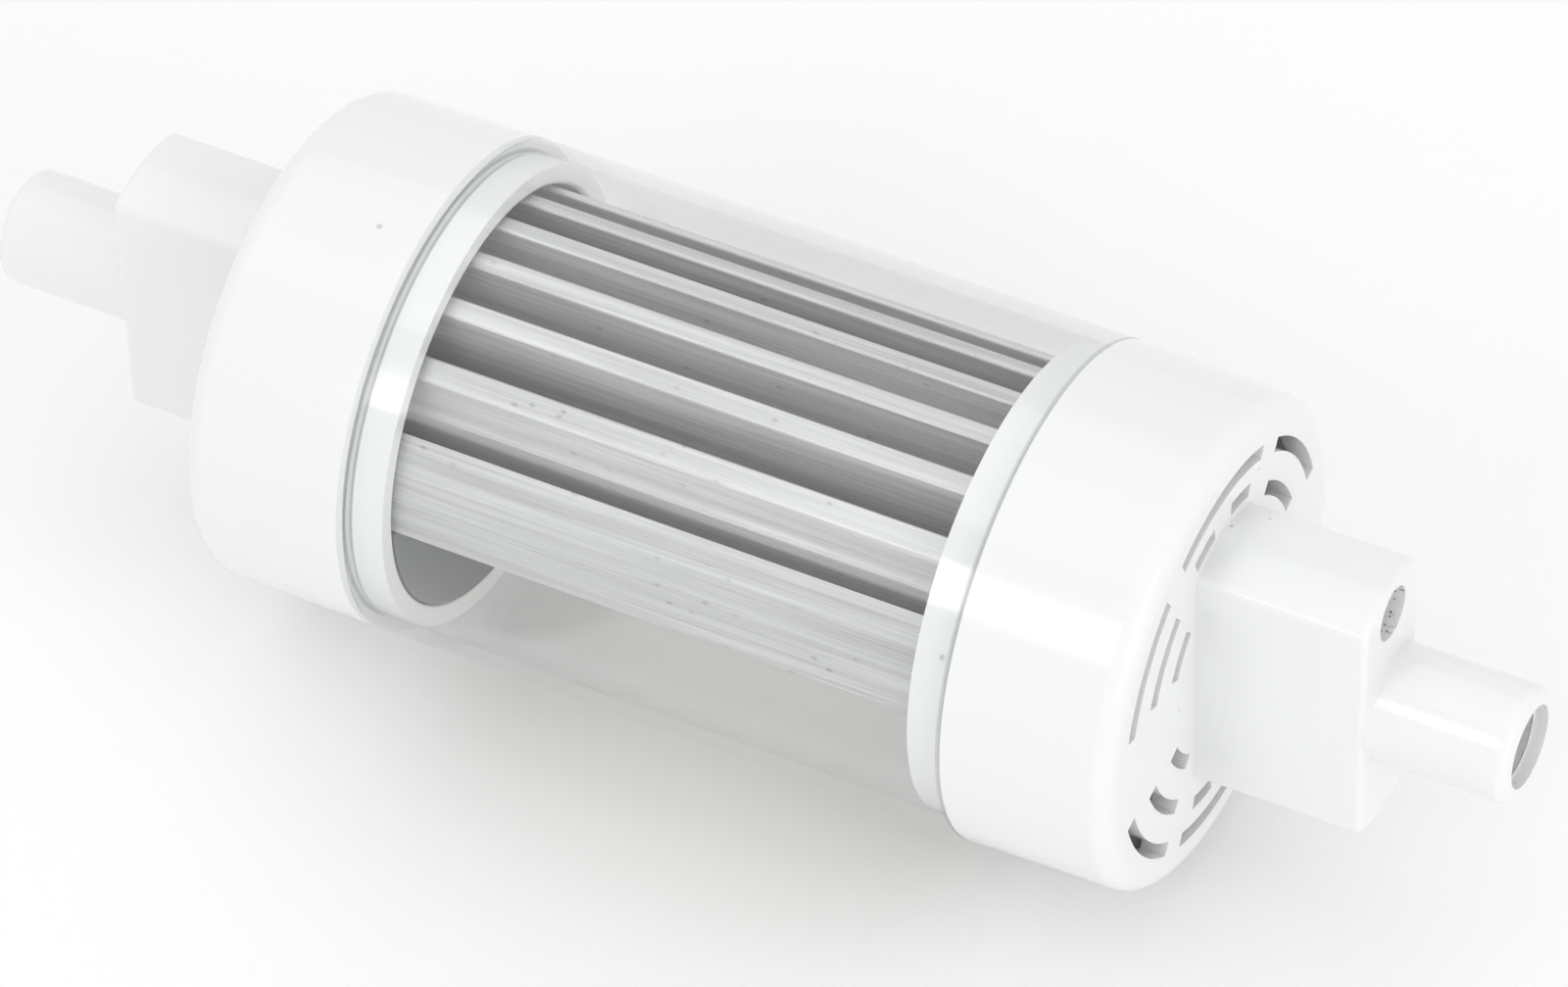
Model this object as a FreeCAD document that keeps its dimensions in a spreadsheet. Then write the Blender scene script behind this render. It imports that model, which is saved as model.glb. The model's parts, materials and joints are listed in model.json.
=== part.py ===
"""Double-ended linear LED bulb: two moulded end caps, a clear tube and a finned heat sink.

X runs along the bulb, Z points up through the fins, and the origin is the centre of the tube.
The light side faces down. All sizes are in millimetres.
"""
import FreeCAD, Part
import math
import os

import Sketcher

V = FreeCAD.Vector
doc = FreeCAD.newDocument("linear_led_bulb")

# Driving dimensions

SIZES = {
    # whole bulb
    "overall_length": 118.0,
    "tube_diameter": 36.5,
    "tube_wall": 1.0,
    "left_joint_gap": 0.55,
    "right_joint_gap": 0.25,
    # end cap, the cup
    "cap_length": 12.5,
    "cap_draft": 0.2,
    "cap_rim_round": 1.6,
    "cap_face_wall": 1.9,
    "collar_length": 3.05,
    "collar_wall": 1.5,
    "collar_clearance": 0.15,
    "collar_edge_round": 0.3,
    "seat_depth": 1.6,
    "seat_rib_width": 1.5,
    "seat_rib_depth": 0.9,
    # end cap, the block and the contact stub
    "contact_rise": 0.8,
    "block_length": 12.7,
    "block_thickness": 8.6,
    "block_diameter": 21.2,
    "block_side_round": 0.7,
    "block_end_round": 0.5,
    "block_wall": 1.7,
    "stub_length": 10.4,
    "stub_diameter": 8.5,
    "stub_root_taper": 0.025,
    "stub_root_length": 0.8,
    "stub_tip_round": 0.9,
    "stub_root_round": 0.3,
    "stub_bore_diameter": 4.6,
    "recess_diameter": 6.1,
    "recess_depth": 1.0,
    # vents in the cap face
    "vent_width": 1.1,
    "vent_outer_radius": 14.75,
    "vent_middle_radius": 11.55,
    "vent_crown_radius": 12.3,
    "vent_inner_radius": 8.25,
    # contact
    "contact_seat_diameter": 5.7,
    "contact_head_thickness": 2.2,
    "contact_head_clearance": 0.1,
    "contact_dish_depth": 0.7,
    "contact_dish_rim": 0.35,
    "contact_shank_diameter": 2.4,
    "contact_shank_clearance": 0.1,
    "contact_web": 2.0,
    "contact_tail": 3.5,
    # cap screw and its tunnel
    "screw_rise": 8.3,
    "tunnel_diameter": 4.0,
    "boss_wall": 1.0,
    "screw_seat_wall": 3.0,
    "screw_diameter": 2.2,
    "screw_length": 9.0,
    "screw_head_diameter": 3.7,
    "screw_head_height": 1.5,
    "screw_clearance": 0.15,
    "thread_clearance": 0.03,
    # heat sink
    "sink_clearance": 0.3,
    "base_level": 0.3,
    "base_thickness": 3.0,
    "fin_pitch": 3.95,
    "fin_thickness": 1.5,
    "fin_edge_round": 0.25,
    "port_wall": 0.9,
    "rib_level": 7.65,
    "rib_height": 0.95,
    "rib_reach": 0.5,
    # light board
    "pad_thickness": 0.25,
    "board_end_clearance": 0.65,
    "board_width": 25.0,
    "board_thickness": 1.2,
    "led_length": 3.5,
    "led_width": 2.8,
    "led_height": 0.7,
    "led_window_border": 0.35,
    "led_window_depth": 0.45,
    "led_row_pitch": 5.0,
    "led_least_pitch": 3.6,
    "led_screw_gap": 0.15,
    "board_screw_diameter": 2.0,
    "board_screw_head_diameter": 3.6,
    "board_screw_head_height": 1.3,
    "board_screw_length": 3.0,
    "tap_run_out": 0.5,
    "board_screw_edge": 2.4,
    # dividers and driver
    "divider_clearance": 0.1,
    "divider_thickness": 1.0,
    "divider_skirt_wall": 1.2,
    "divider_top_gap": 0.2,
    "driver_board_thickness": 1.6,
    "supply_pitch": 4.0,
    "supply_diameter": 1.0,
    "supply_hole_diameter": 1.4,
    "supply_pad_length": 2.0,
    "supply_overlap": 1.8,
    "mains_lead_diameter": 1.2,
    "mains_lead_bend": 1.5,
    "mains_lead_clearance": 0.1,
    "mains_lead_wall_gap": 2.7,
    "mains_entry_depth": 2.3,
    "capacitor_diameter": 6.3,
    "capacitor_height": 7.5,
    "capacitor_groove": 0.25,
    "capacitor_lead_pitch": 2.5,
    "inductor_diameter": 6.0,
    "inductor_height": 6.5,
    "inductor_flange": 0.9,
    "inductor_winding_inset": 0.3,
    "inductor_lead_pitch": 2.2,
    "component_rim_clearance": 1.5,
    "component_gap": 0.6,
    "component_side_gap": 0.635,
    "rectifier_edge_clearance": 0.55,
    "rectifier_length": 4.7,
    "rectifier_height": 2.4,
    "chip_length": 4.9,
    "chip_height": 1.5,
    "package_width": 3.9,
    "package_chamfer": 0.25,
    "leg_thickness": 0.2,
    "leg_width": 0.45,
    "leg_reach": 0.9,
    "chip_resistor_length": 1.2,
    "chip_resistor_width": 0.8,
    "chip_resistor_height": 0.45,
    "chip_resistor_pitch": 1.9,
    "chip_resistor_gap": 0.15,
    "resistor_diameter": 2.5,
    "resistor_cap_length": 0.6,
    "resistor_cap_wall": 0.15,
    "resistor_cap_shoulder": 0.35,
    "resistor_length": 5.0,
    "resistor_lead_pitch": 1.0,
    "component_lead_diameter": 0.6,
    "component_stand_off": 0.2,
}

sheet = doc.addObject("Spreadsheet::Sheet", "dims")
for row, (alias, value) in enumerate(SIZES.items(), start=1):
    sheet.set(f"A{row}", alias.replace("_", " "))
    sheet.set(f"B{row}", str(value))
    sheet.setAlias(f"B{row}", alias)
doc.recompute()


def size(alias):
    """Value of one driving dimension, read from the sheet."""
    return float(sheet.get(alias))


def d(alias):
    """Name of one driving dimension, for use in an expression."""
    return f"dims.{alias}"


# Places and sizes that follow from the driving dimensions, as expressions

STUB_TIP = f"({d('overall_length')} / 2)"
BLOCK_END = f"({STUB_TIP} - {d('stub_length')})"
FACE = f"({BLOCK_END} - {d('block_length')})"
FACE_INNER = f"({FACE} - {d('cap_face_wall')})"
SHOULDER = f"({FACE} - {d('cap_length')})"
COLLAR_END = f"({SHOULDER} - {d('collar_length')})"
SEAT = f"({SHOULDER} + {d('seat_depth')})"
SCREW_SEAT = f"({SEAT} + {d('screw_seat_wall')})"
TUBE_RADIUS = f"({d('tube_diameter')} / 2)"
RIM_RADIUS = f"({TUBE_RADIUS} - {d('cap_draft')})"
TUBE_BORE_RADIUS = f"({TUBE_RADIUS} - {d('tube_wall')})"
COLLAR_RADIUS = f"({TUBE_BORE_RADIUS} - {d('collar_clearance')})"
BORE_RADIUS = f"({COLLAR_RADIUS} - {d('collar_wall')})"
RIB_INNER_RADIUS = f"({BORE_RADIUS} - {d('seat_rib_depth')})"
BLOCK_HALF = f"({d('block_thickness')} / 2)"
BLOCK_RADIUS = f"({d('block_diameter')} / 2)"
CAVITY_HALF = f"({BLOCK_HALF} - {d('block_wall')})"
CAVITY_RADIUS = f"({BLOCK_RADIUS} - {d('block_wall')})"
SCREW_LEVEL = f"({d('contact_rise')} + {d('screw_rise')})"
BOSS_RADIUS = f"({d('tunnel_diameter')} / 2 + {d('boss_wall')})"
CONTACT_RIM = f"({STUB_TIP} - {d('recess_depth')})"
CONTACT_BACK = f"({CONTACT_RIM} - {d('contact_head_thickness')})"
WEB_BACK = f"({CONTACT_BACK} - {d('contact_web')})"
SHANK_HOLE_RADIUS = f"({d('contact_shank_diameter')} / 2 + {d('contact_shank_clearance')})"
SINK_RADIUS = f"({BORE_RADIUS} - {d('sink_clearance')})"
FIN_GAP = f"({d('fin_pitch')} - {d('fin_thickness')})"
BASE_TOP = f"({d('base_level')} + {d('base_thickness')})"
PORT_RADIUS = f"({d('screw_diameter')} / 2 + {d('thread_clearance')})"
PAD_BOTTOM = f"({d('base_level')} - {d('pad_thickness')})"
BOARD_BOTTOM = f"({PAD_BOTTOM} - {d('board_thickness')})"
DIVIDER_RADIUS = f"({BORE_RADIUS} - {d('divider_clearance')})"
DIVIDER_TOP = f"({d('base_level')} - {d('divider_top_gap')})"
DIVIDER_BACK = f"({COLLAR_END} + {d('divider_thickness')})"
DRIVER_FRONT = f"({SEAT} - {d('driver_board_thickness')})"
BOARD_END = f"({COLLAR_END} - {d('board_end_clearance')})"
LEFT_BOARD_SCREW = f"({d('board_screw_edge')} + {d('supply_pad_length')} - {BOARD_END})"
RIGHT_BOARD_SCREW = f"({BOARD_END} - {d('board_screw_edge')})"
LED_INSET = f"(({d('board_screw_head_diameter')} + {d('led_width')}) / 2 + {d('led_screw_gap')})"
SUPPLY_LEVEL = f"({BOARD_BOTTOM} - {d('supply_diameter')} / 2)"

BOARD_SCREWS = (("left", LEFT_BOARD_SCREW), ("right", RIGHT_BOARD_SCREW))

FIN_COUNT = 8
SEAT_RIB_COUNT = 6
DRIVE_REACH = 0.6  # cross recess of a screw, as shares of its head's radius
DRIVE_WIDTH = 0.18
FULL_TURN = 360
OVERRUN = "1"  # how far a cut runs out past the face it starts from


# Helpers for sketches and features

def bind(item, path, expression):
    """Tie one property of an object to an expression."""
    item.setExpression(path, expression)


def new_body(label):
    body = doc.addObject("PartDesign::Body", label)
    body.Label = label
    return body


def origin_plane(body, role):
    return next(item for item in body.Origin.OriginFeatures if item.Role == role)


def sketch_on(body, name, role, offset=None, turn=0):
    """Sketch on an origin plane, moved along its normal and turned about its own x axis."""
    sketch = body.newObject("Sketcher::SketchObject", name)
    sketch.AttachmentSupport = (origin_plane(body, role), [""])
    sketch.MapMode = "FlatFace"
    if turn:
        sketch.AttachmentOffset = FreeCAD.Placement(V(0, 0, 0), FreeCAD.Rotation(V(1, 0, 0), turn))
    if offset:
        bind(sketch, "AttachmentOffset.Base.z", offset)
    return sketch


def hold(sketch, kind, *targets, to):
    """Add a driving constraint and tie its value to an expression."""
    index = sketch.addConstraint(Sketcher.Constraint(kind, *targets, sheet_value(to)))
    bind(sketch, f"Constraints[{index}]", to)


def sheet_value(expression):
    """Number that an expression gives now, as a first guess for a sketch."""
    return float(doc.getObject("dims").evalExpression(expression))


def outline(sketch, corners):
    """Closed outline through corners, each held to the sketch's origin by two expressions."""
    points = [V(sheet_value(x), sheet_value(y), 0) for x, y in corners]
    first = sketch.GeometryCount
    count = len(corners)
    for number in range(count):
        sketch.addGeometry(Part.LineSegment(points[number], points[(number + 1) % count]))
    for number in range(count):
        following = first + (number + 1) % count
        sketch.addConstraint(Sketcher.Constraint("Coincident", first + number, 2, following, 1))
    for number, (x, y) in enumerate(corners):
        hold(sketch, "DistanceX", -1, 1, first + number, 1, to=x)
        hold(sketch, "DistanceY", -1, 1, first + number, 1, to=y)


def rectangle(sketch, low_x, high_x, low_y, high_y):
    outline(sketch, [(low_x, low_y), (high_x, low_y), (high_x, high_y), (low_x, high_y)])


def circle(sketch, radius, centre_x="0", centre_y="0"):
    centre = V(sheet_value(centre_x), sheet_value(centre_y), 0)
    index = sketch.addGeometry(Part.Circle(centre, V(0, 0, 1), sheet_value(radius)))
    hold(sketch, "DistanceX", -1, 1, index, 3, to=centre_x)
    hold(sketch, "DistanceY", -1, 1, index, 3, to=centre_y)
    hold(sketch, "Radius", index, to=radius)


def pad(body, sketch, length, both_ways=False):
    feature = body.newObject("PartDesign::Pad", sketch.Name + "_pad")
    feature.Profile = sketch
    bind(feature, "Length", length)
    feature.Midplane = both_ways
    return feature


def pocket(body, sketch, length, forwards=False, both_ways=False):
    """Cut a sketch away, backwards along its normal unless told otherwise."""
    feature = body.newObject("PartDesign::Pocket", sketch.Name + "_pocket")
    feature.Profile = sketch
    bind(feature, "Length", length)
    feature.Reversed = forwards
    feature.Midplane = both_ways
    return feature


def turned(body, kind, sketch, angle=FULL_TURN):
    """Revolution or groove of a sketch about the sketch's own x axis."""
    feature = body.newObject("PartDesign::" + kind, sketch.Name + "_" + kind.lower())
    feature.Profile = sketch
    feature.ReferenceAxis = (sketch, ["H_Axis"])
    feature.Angle = angle
    feature.Midplane = angle < FULL_TURN
    return feature


def steps_about_axis(body, kind, name, steps, level=None):
    """Turned shape or bore along X from (x from, x to, radius) steps, at a height above the origin."""
    sketch = sketch_on(body, name, "XZ_Plane")
    if level:
        bind(sketch, "AttachmentOffset.Base.y", level)
    corners = [(steps[0][0], "0")]
    for start, end, radius in steps:
        corners += [(start, radius), (end, radius)]
    corners.append((steps[-1][1], "0"))
    outline(sketch, corners)
    return turned(body, kind, sketch)


def round_edges(body, base, radius, chosen):
    """Fillet the edges of the last feature that a test picks out."""
    doc.recompute()
    names = [f"Edge{n}" for n, edge in enumerate(base.Shape.Edges, start=1) if chosen(edge)]
    if not names:
        raise RuntimeError(f"no edge to round on {base.Name}")
    fillet = body.newObject("PartDesign::Fillet", base.Name + "_round")
    fillet.Base = (base, names)
    bind(fillet, "Radius", radius)
    return fillet


def near(one, other):
    return abs(one - other) < 1e-3


def ring_at(x, radius):
    """Test for a circular edge about X at one place and radius."""
    def test(edge):
        curve = edge.Curve
        return isinstance(curve, Part.Circle) and near(curve.Center.x, x) and near(curve.Radius, radius)
    return test


def along_x(edge):
    """True for a straight edge parallel to X."""
    if not isinstance(edge.Curve, Part.Line):
        return False
    return near(abs(edge.Curve.Direction.x), 1)


def mirror_of(body, label):
    """The same piece on the left end: it is symmetric front to back, so a mirror gives it."""
    copy = doc.addObject("Part::Mirroring", label)
    copy.Label = label
    copy.Source = body
    copy.Normal = V(1, 0, 0)
    return copy


# End cap: cup with a collar, vented face, block and contact stub in one moulding

VENT_FAMILIES = (
    # name, radius, middle of the slot from the side, length of the slot, both in degrees
    ("outer_corner", "vent_outer_radius", 35.5, 39),
    ("middle_corner", "vent_middle_radius", 37, 32),
    ("inner_corner", "vent_inner_radius", 38, 25),
    ("crown", "vent_crown_radius", 77, 14),
    ("outer_crown", "vent_outer_radius", 90, 50),
)


def vent_slots(body):
    for name, radius, middle, length in VENT_FAMILIES:
        turns = {middle, -middle, 180 - middle, middle - 180}
        for number, turn in enumerate(sorted(turns)):
            sketch = sketch_on(body, f"{name}_vent_{number}", "XZ_Plane", turn=turn - 90)
            rectangle(
                sketch,
                f"{FACE_INNER} - {d('cap_face_wall')} / 2",
                f"{FACE} + {OVERRUN}",
                f"{d(radius)} - {d('vent_width')} / 2",
                f"{d(radius)} + {d('vent_width')} / 2",
            )
            turned(body, "Groove", sketch, angle=length)


def block(body):
    """Slab cut from a cylinder about the contact axis, with its long and end edges rounded."""
    sketch = sketch_on(body, "block", "YZ_Plane", offset=f"{FACE_INNER} + {d('cap_face_wall')} / 2")
    half = sheet_value(BLOCK_HALF)
    radius = sheet_value(BLOCK_RADIUS)
    rise = size("contact_rise")
    reach = math.sqrt(radius**2 - half**2)
    swing = math.atan2(reach, half)
    centre = V(0, rise, 0)
    round_outline = Part.Circle(centre, V(0, 0, 1), radius)
    top = sketch.addGeometry(Part.ArcOfCircle(round_outline, swing, math.pi - swing))
    low = sketch.addGeometry(Part.ArcOfCircle(round_outline, math.pi + swing, -swing))
    left = sketch.addGeometry(Part.LineSegment(V(-half, rise + reach, 0), V(-half, rise - reach, 0)))
    right = sketch.addGeometry(Part.LineSegment(V(half, rise - reach, 0), V(half, rise + reach, 0)))
    for pair in ((top, 2, left, 1), (left, 2, low, 1), (low, 2, right, 1), (right, 2, top, 1)):
        sketch.addConstraint(Sketcher.Constraint("Coincident", *pair))
    sketch.addConstraint(Sketcher.Constraint("Coincident", top, 3, low, 3))
    sketch.addConstraint(Sketcher.Constraint("PointOnObject", top, 3, -2))
    sketch.addConstraint(Sketcher.Constraint("Vertical", left))
    sketch.addConstraint(Sketcher.Constraint("Vertical", right))
    hold(sketch, "DistanceY", -1, 1, top, 3, to=d("contact_rise"))
    hold(sketch, "Radius", top, to=BLOCK_RADIUS)
    hold(sketch, "Radius", low, to=BLOCK_RADIUS)
    hold(sketch, "DistanceX", -1, 1, left, 1, to=f"-{BLOCK_HALF}")
    hold(sketch, "DistanceX", -1, 1, right, 1, to=BLOCK_HALF)
    solid = pad(body, sketch, f"{d('block_length')} + {d('cap_face_wall')} / 2")
    end = sheet_value(BLOCK_END)
    face = sheet_value(FACE)
    sides = round_edges(
        body, solid, d("block_side_round"),
        lambda edge: along_x(edge) and edge.CenterOfMass.x > face and near(abs(edge.CenterOfMass.y), half),
    )
    return round_edges(
        body, sides, d("block_end_round"),
        lambda edge: near(edge.BoundBox.XMin, end) and near(edge.BoundBox.XMax, end),
    )


def end_cap(label):
    body = new_body(label)
    cup = sketch_on(body, "cup", "XZ_Plane")
    outline(cup, [
        (COLLAR_END, BORE_RADIUS), (COLLAR_END, COLLAR_RADIUS), (SHOULDER, COLLAR_RADIUS),
        (SHOULDER, TUBE_RADIUS), (FACE, RIM_RADIUS), (FACE, "0"),
        (FACE_INNER, "0"), (FACE_INNER, BORE_RADIUS),
    ])
    shell = turned(body, "Revolution", cup)
    rim = round_edges(body, shell, d("cap_rim_round"), ring_at(sheet_value(FACE), sheet_value(RIM_RADIUS)))
    round_edges(
        body, rim, d("collar_edge_round"),
        ring_at(sheet_value(COLLAR_END), sheet_value(BORE_RADIUS)),
    )
    block(body)

    stub_radius = f"({d('stub_diameter')} / 2)"
    root_radius = f"({stub_radius} + {d('stub_root_taper')})"
    stub = sketch_on(body, "stub", "XZ_Plane")
    bind(stub, "AttachmentOffset.Base.y", d("contact_rise"))
    outline(stub, [
        (f"{BLOCK_END} - {d('block_wall')} / 2", "0"), (f"{BLOCK_END} - {d('block_wall')} / 2", root_radius),
        (BLOCK_END, root_radius), (f"{BLOCK_END} + {d('stub_root_length')}", stub_radius),
        (STUB_TIP, stub_radius), (STUB_TIP, "0"),
    ])
    barrel = turned(body, "Revolution", stub)
    tip_edge = ring_at(sheet_value(STUB_TIP), size("stub_diameter") / 2)
    nose = round_edges(body, barrel, d("stub_tip_round"), tip_edge)
    end = sheet_value(BLOCK_END)
    radius = sheet_value(root_radius)
    rise = size("contact_rise")

    def stub_root_edge(edge):
        """Edge where the stub runs into the block's end face and its rounded edges."""
        points = [edge.valueAt(edge.FirstParameter), edge.valueAt(edge.LastParameter)]
        on_stub = all(near(math.hypot(point.y, point.z - rise), radius) for point in points)
        inside = edge.BoundBox.XMin > end - size("block_end_round")
        return on_stub and inside and edge.BoundBox.XMax < end + size("stub_root_length") / 2

    round_edges(body, nose, d("stub_root_round"), stub_root_edge)

    boss = sketch_on(body, "screw_boss", "YZ_Plane", offset=SEAT)
    circle(boss, BOSS_RADIUS, centre_y=SCREW_LEVEL)
    pad(body, boss, f"{FACE_INNER} + {d('cap_face_wall')} / 2 - {SEAT}")

    rib = sketch_on(body, "seat_rib", "YZ_Plane", offset=SEAT)
    rectangle(
        rib, RIB_INNER_RADIUS, f"{BORE_RADIUS} + {d('collar_wall')} / 2",
        f"-{d('seat_rib_width')} / 2", f"{d('seat_rib_width')} / 2",
    )
    first_rib = pad(body, rib, f"{FACE_INNER} + {d('cap_face_wall')} / 2 - {SEAT}")
    ribs = body.newObject("PartDesign::PolarPattern", "seat_ribs")
    ribs.Originals = [first_rib]
    ribs.Axis = (rib, ["N_Axis"])
    ribs.Angle = FULL_TURN
    ribs.Occurrences = SEAT_RIB_COUNT
    body.Tip = ribs

    cavity = sketch_on(body, "block_cavity", "YZ_Plane", offset=f"{FACE_INNER} - {OVERRUN}")
    rectangle(
        cavity, f"-{CAVITY_HALF}", CAVITY_HALF,
        f"{d('contact_rise')} - sqrt({CAVITY_RADIUS}^2 - {CAVITY_HALF}^2)",
        f"{SCREW_LEVEL} - {BOSS_RADIUS}",
    )
    pocket(body, cavity, f"{BLOCK_END} - {d('block_wall')} - {FACE_INNER} + {OVERRUN}", forwards=True)

    steps_about_axis(body, "Groove", "contact_bore", [
        (f"{BLOCK_END} - {d('block_wall')} - {OVERRUN}", WEB_BACK, f"{d('stub_bore_diameter')} / 2"),
        (WEB_BACK, CONTACT_BACK, SHANK_HOLE_RADIUS),
        (CONTACT_BACK, CONTACT_RIM, f"{d('contact_seat_diameter')} / 2"),
        (CONTACT_RIM, f"{STUB_TIP} + {OVERRUN}", f"{d('recess_diameter')} / 2"),
    ], level=d("contact_rise"))
    steps_about_axis(body, "Groove", "screw_bore", [
        (f"{SEAT} - {OVERRUN}", SCREW_SEAT, f"{d('screw_diameter')} / 2 + {d('screw_clearance')}"),
        (SCREW_SEAT, f"{BLOCK_END} + {OVERRUN}", f"{d('tunnel_diameter')} / 2"),
    ], level=SCREW_LEVEL)
    vent_slots(body)
    return body


# Contact: button with a dished face, and a shank that takes the mains lead

def contact(label):
    shank = f"{d('contact_shank_diameter')} / 2"
    head = f"({d('contact_seat_diameter')} / 2 - {d('contact_head_clearance')})"
    button = new_body(label + "_button")
    steps_about_axis(button, "Revolution", "button", [
        (f"{WEB_BACK} - {d('contact_tail')}", CONTACT_BACK, shank),
        (CONTACT_BACK, CONTACT_RIM, head),
    ], level=d("contact_rise"))
    mouth = f"({head} - {d('contact_dish_rim')})"
    depth = d("contact_dish_depth")
    ball_radius = f"(({mouth}^2 + {depth}^2) / (2 * {depth}))"
    ball = doc.addObject("Part::Sphere", label + "_dish")
    bind(ball, "Radius", ball_radius)
    bind(ball, "Placement.Base.x", f"{CONTACT_RIM} + {ball_radius} - {depth}")
    bind(ball, "Placement.Base.z", d("contact_rise"))
    dished = doc.addObject("Part::Cut", label)
    dished.Label = label
    dished.Base = button
    dished.Tool = ball
    return dished


# Cap screw: pan head on its seat, shank into the port of the heat sink

def cap_screw(label):
    body = new_body(label)
    shank = f"{d('screw_diameter')} / 2"
    head = f"{d('screw_head_diameter')} / 2"
    tip = f"{SCREW_SEAT} - {d('screw_length')}"
    point = f"{d('screw_diameter')} / 2"
    sketch = sketch_on(body, "profile", "XZ_Plane")
    bind(sketch, "AttachmentOffset.Base.y", SCREW_LEVEL)
    outline(sketch, [
        (tip, "0"), (f"{tip} + {point}", shank), (SCREW_SEAT, shank), (SCREW_SEAT, head),
        (f"{SCREW_SEAT} + {d('screw_head_height')}", head), (f"{SCREW_SEAT} + {d('screw_head_height')}", "0"),
    ])
    blank = turned(body, "Revolution", sketch)
    crown = sheet_value(f"{SCREW_SEAT} + {d('screw_head_height')}")
    round_edges(body, blank, f"{d('screw_head_height')} / 3", ring_at(crown, sheet_value(head)))
    for name, wide, tall in (
        ("slot_across", DRIVE_REACH, DRIVE_WIDTH),
        ("slot_upright", DRIVE_WIDTH, DRIVE_REACH),
    ):
        slot = sketch_on(body, name, "YZ_Plane", offset=f"{SCREW_SEAT} + {d('screw_head_height')}")
        reach_y = f"{d('screw_head_diameter')} / 2 * {wide}"
        reach_z = f"{d('screw_head_diameter')} / 2 * {tall}"
        rectangle(slot, f"-{reach_y}", reach_y, f"{SCREW_LEVEL} - {reach_z}", f"{SCREW_LEVEL} + {reach_z}")
        pocket(body, slot, f"{d('screw_head_height')} / 2")
    return body


# Clear tube between the shoulders of the caps, with a joint gap at each end

def clear_tube():
    body = new_body("clear_tube")
    ring = sketch_on(body, "ring", "YZ_Plane", offset=f"-{SHOULDER} + {d('left_joint_gap')}")
    circle(ring, TUBE_RADIUS)
    circle(ring, TUBE_BORE_RADIUS)
    pad(body, ring, f"2 * {SHOULDER} - {d('left_joint_gap')} - {d('right_joint_gap')}")


# Heat sink: extrusion with upright fins inside a round outline, on a flat base

def heat_sink():
    body = new_body("heat_sink")
    outer = sketch_on(body, "outline", "YZ_Plane")
    circle(outer, SINK_RADIUS)
    pad(body, outer, f"2 * {SEAT}", both_ways=True)

    under = sketch_on(body, "below_base", "YZ_Plane")
    rectangle(under, f"-{TUBE_RADIUS}", TUBE_RADIUS, f"-{TUBE_RADIUS}", d("base_level"))
    pocket(body, under, f"2 * {SEAT} + {OVERRUN}", both_ways=True)

    gaps = FIN_COUNT - 1
    first = f"(-{(gaps - 1) // 2} * {d('fin_pitch')})"
    slot = sketch_on(body, "fin_gap", "YZ_Plane")
    rectangle(slot, f"{first} - {FIN_GAP} / 2", f"{first} + {FIN_GAP} / 2", BASE_TOP, TUBE_RADIUS)
    cut = pocket(body, slot, f"2 * {SEAT} + {OVERRUN}", both_ways=True)
    slots = body.newObject("PartDesign::LinearPattern", "fin_gaps")
    slots.Originals = [cut]
    slots.Direction = (slot, ["H_Axis"])
    slots.Occurrences = gaps
    bind(slots, "Length", f"{gaps - 1} * {d('fin_pitch')}")
    body.Tip = slots
    doc.recompute()

    radius = sheet_value(SINK_RADIUS)
    outermost = sheet_value(f"{gaps} / 2 * {d('fin_pitch')} - {d('fin_thickness')}")

    def fin_tip_edge(edge):
        """Long edge on the round outline, except on the outermost fins, whose edges are sharp."""
        middle = edge.CenterOfMass
        on_outline = near(math.hypot(middle.y, middle.z), radius)
        return along_x(edge) and on_outline and abs(middle.y) < outermost

    round_edges(body, slots, d("fin_edge_round"), fin_tip_edge)

    port = sketch_on(body, "screw_port", "YZ_Plane")
    circle(port, f"{PORT_RADIUS} + {d('port_wall')}", centre_y=SCREW_LEVEL)
    pad(body, port, f"2 * {SEAT}", both_ways=True)
    hole = sketch_on(body, "screw_port_hole", "YZ_Plane")
    circle(hole, PORT_RADIUS, centre_y=SCREW_LEVEL)
    pocket(body, hole, f"2 * {SEAT} + {OVERRUN}", both_ways=True)

    second_fin_face = f"({(gaps - 2) / 2} * {d('fin_pitch')} + {d('fin_thickness')} / 2)"
    rib_low = f"{d('rib_level')} - {d('rib_height')} / 2"
    rib_high = f"{d('rib_level')} + {d('rib_height')} / 2"
    root = f"{second_fin_face} - {d('fin_thickness')} / 2"
    reach = f"{second_fin_face} + {d('rib_reach')}"
    for name, corners in (
        ("front_rib", (f"-({reach})", f"-({root})")),
        ("back_rib", (root, reach)),
    ):
        rib = sketch_on(body, name, "YZ_Plane")
        rectangle(rib, *corners, rib_low, rib_high)
        pad(body, rib, f"2 * {SEAT}", both_ways=True)

    for name, place in BOARD_SCREWS:
        tapped = sketch_on(body, f"tapped_hole_{name}", "XY_Plane", offset=PAD_BOTTOM)
        circle(tapped, f"{d('board_screw_diameter')} / 2 + {d('thread_clearance')}", centre_x=place)
        depth = f"{d('board_screw_length')} - {d('board_thickness')} + {d('tap_run_out')}"
        pocket(body, tapped, depth, forwards=True)


# Light board under the base, with its pad, screws and light sources

LED_ROWS = 4


def flat_board(label, top, thickness):
    """Rectangular layer under the heat sink with holes for the board screws."""
    body = new_body(label)
    sheet_outline = sketch_on(body, "outline", "XY_Plane", offset=f"{top} - {thickness}")
    half_wide = f"{d('board_width')} / 2"
    rectangle(sheet_outline, f"-{BOARD_END}", BOARD_END, f"-{half_wide}", half_wide)
    for _, place in BOARD_SCREWS:
        circle(sheet_outline, f"{d('board_screw_diameter')} / 2 + {d('screw_clearance')}", centre_x=place)
    pad(body, sheet_outline, thickness)


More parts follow.
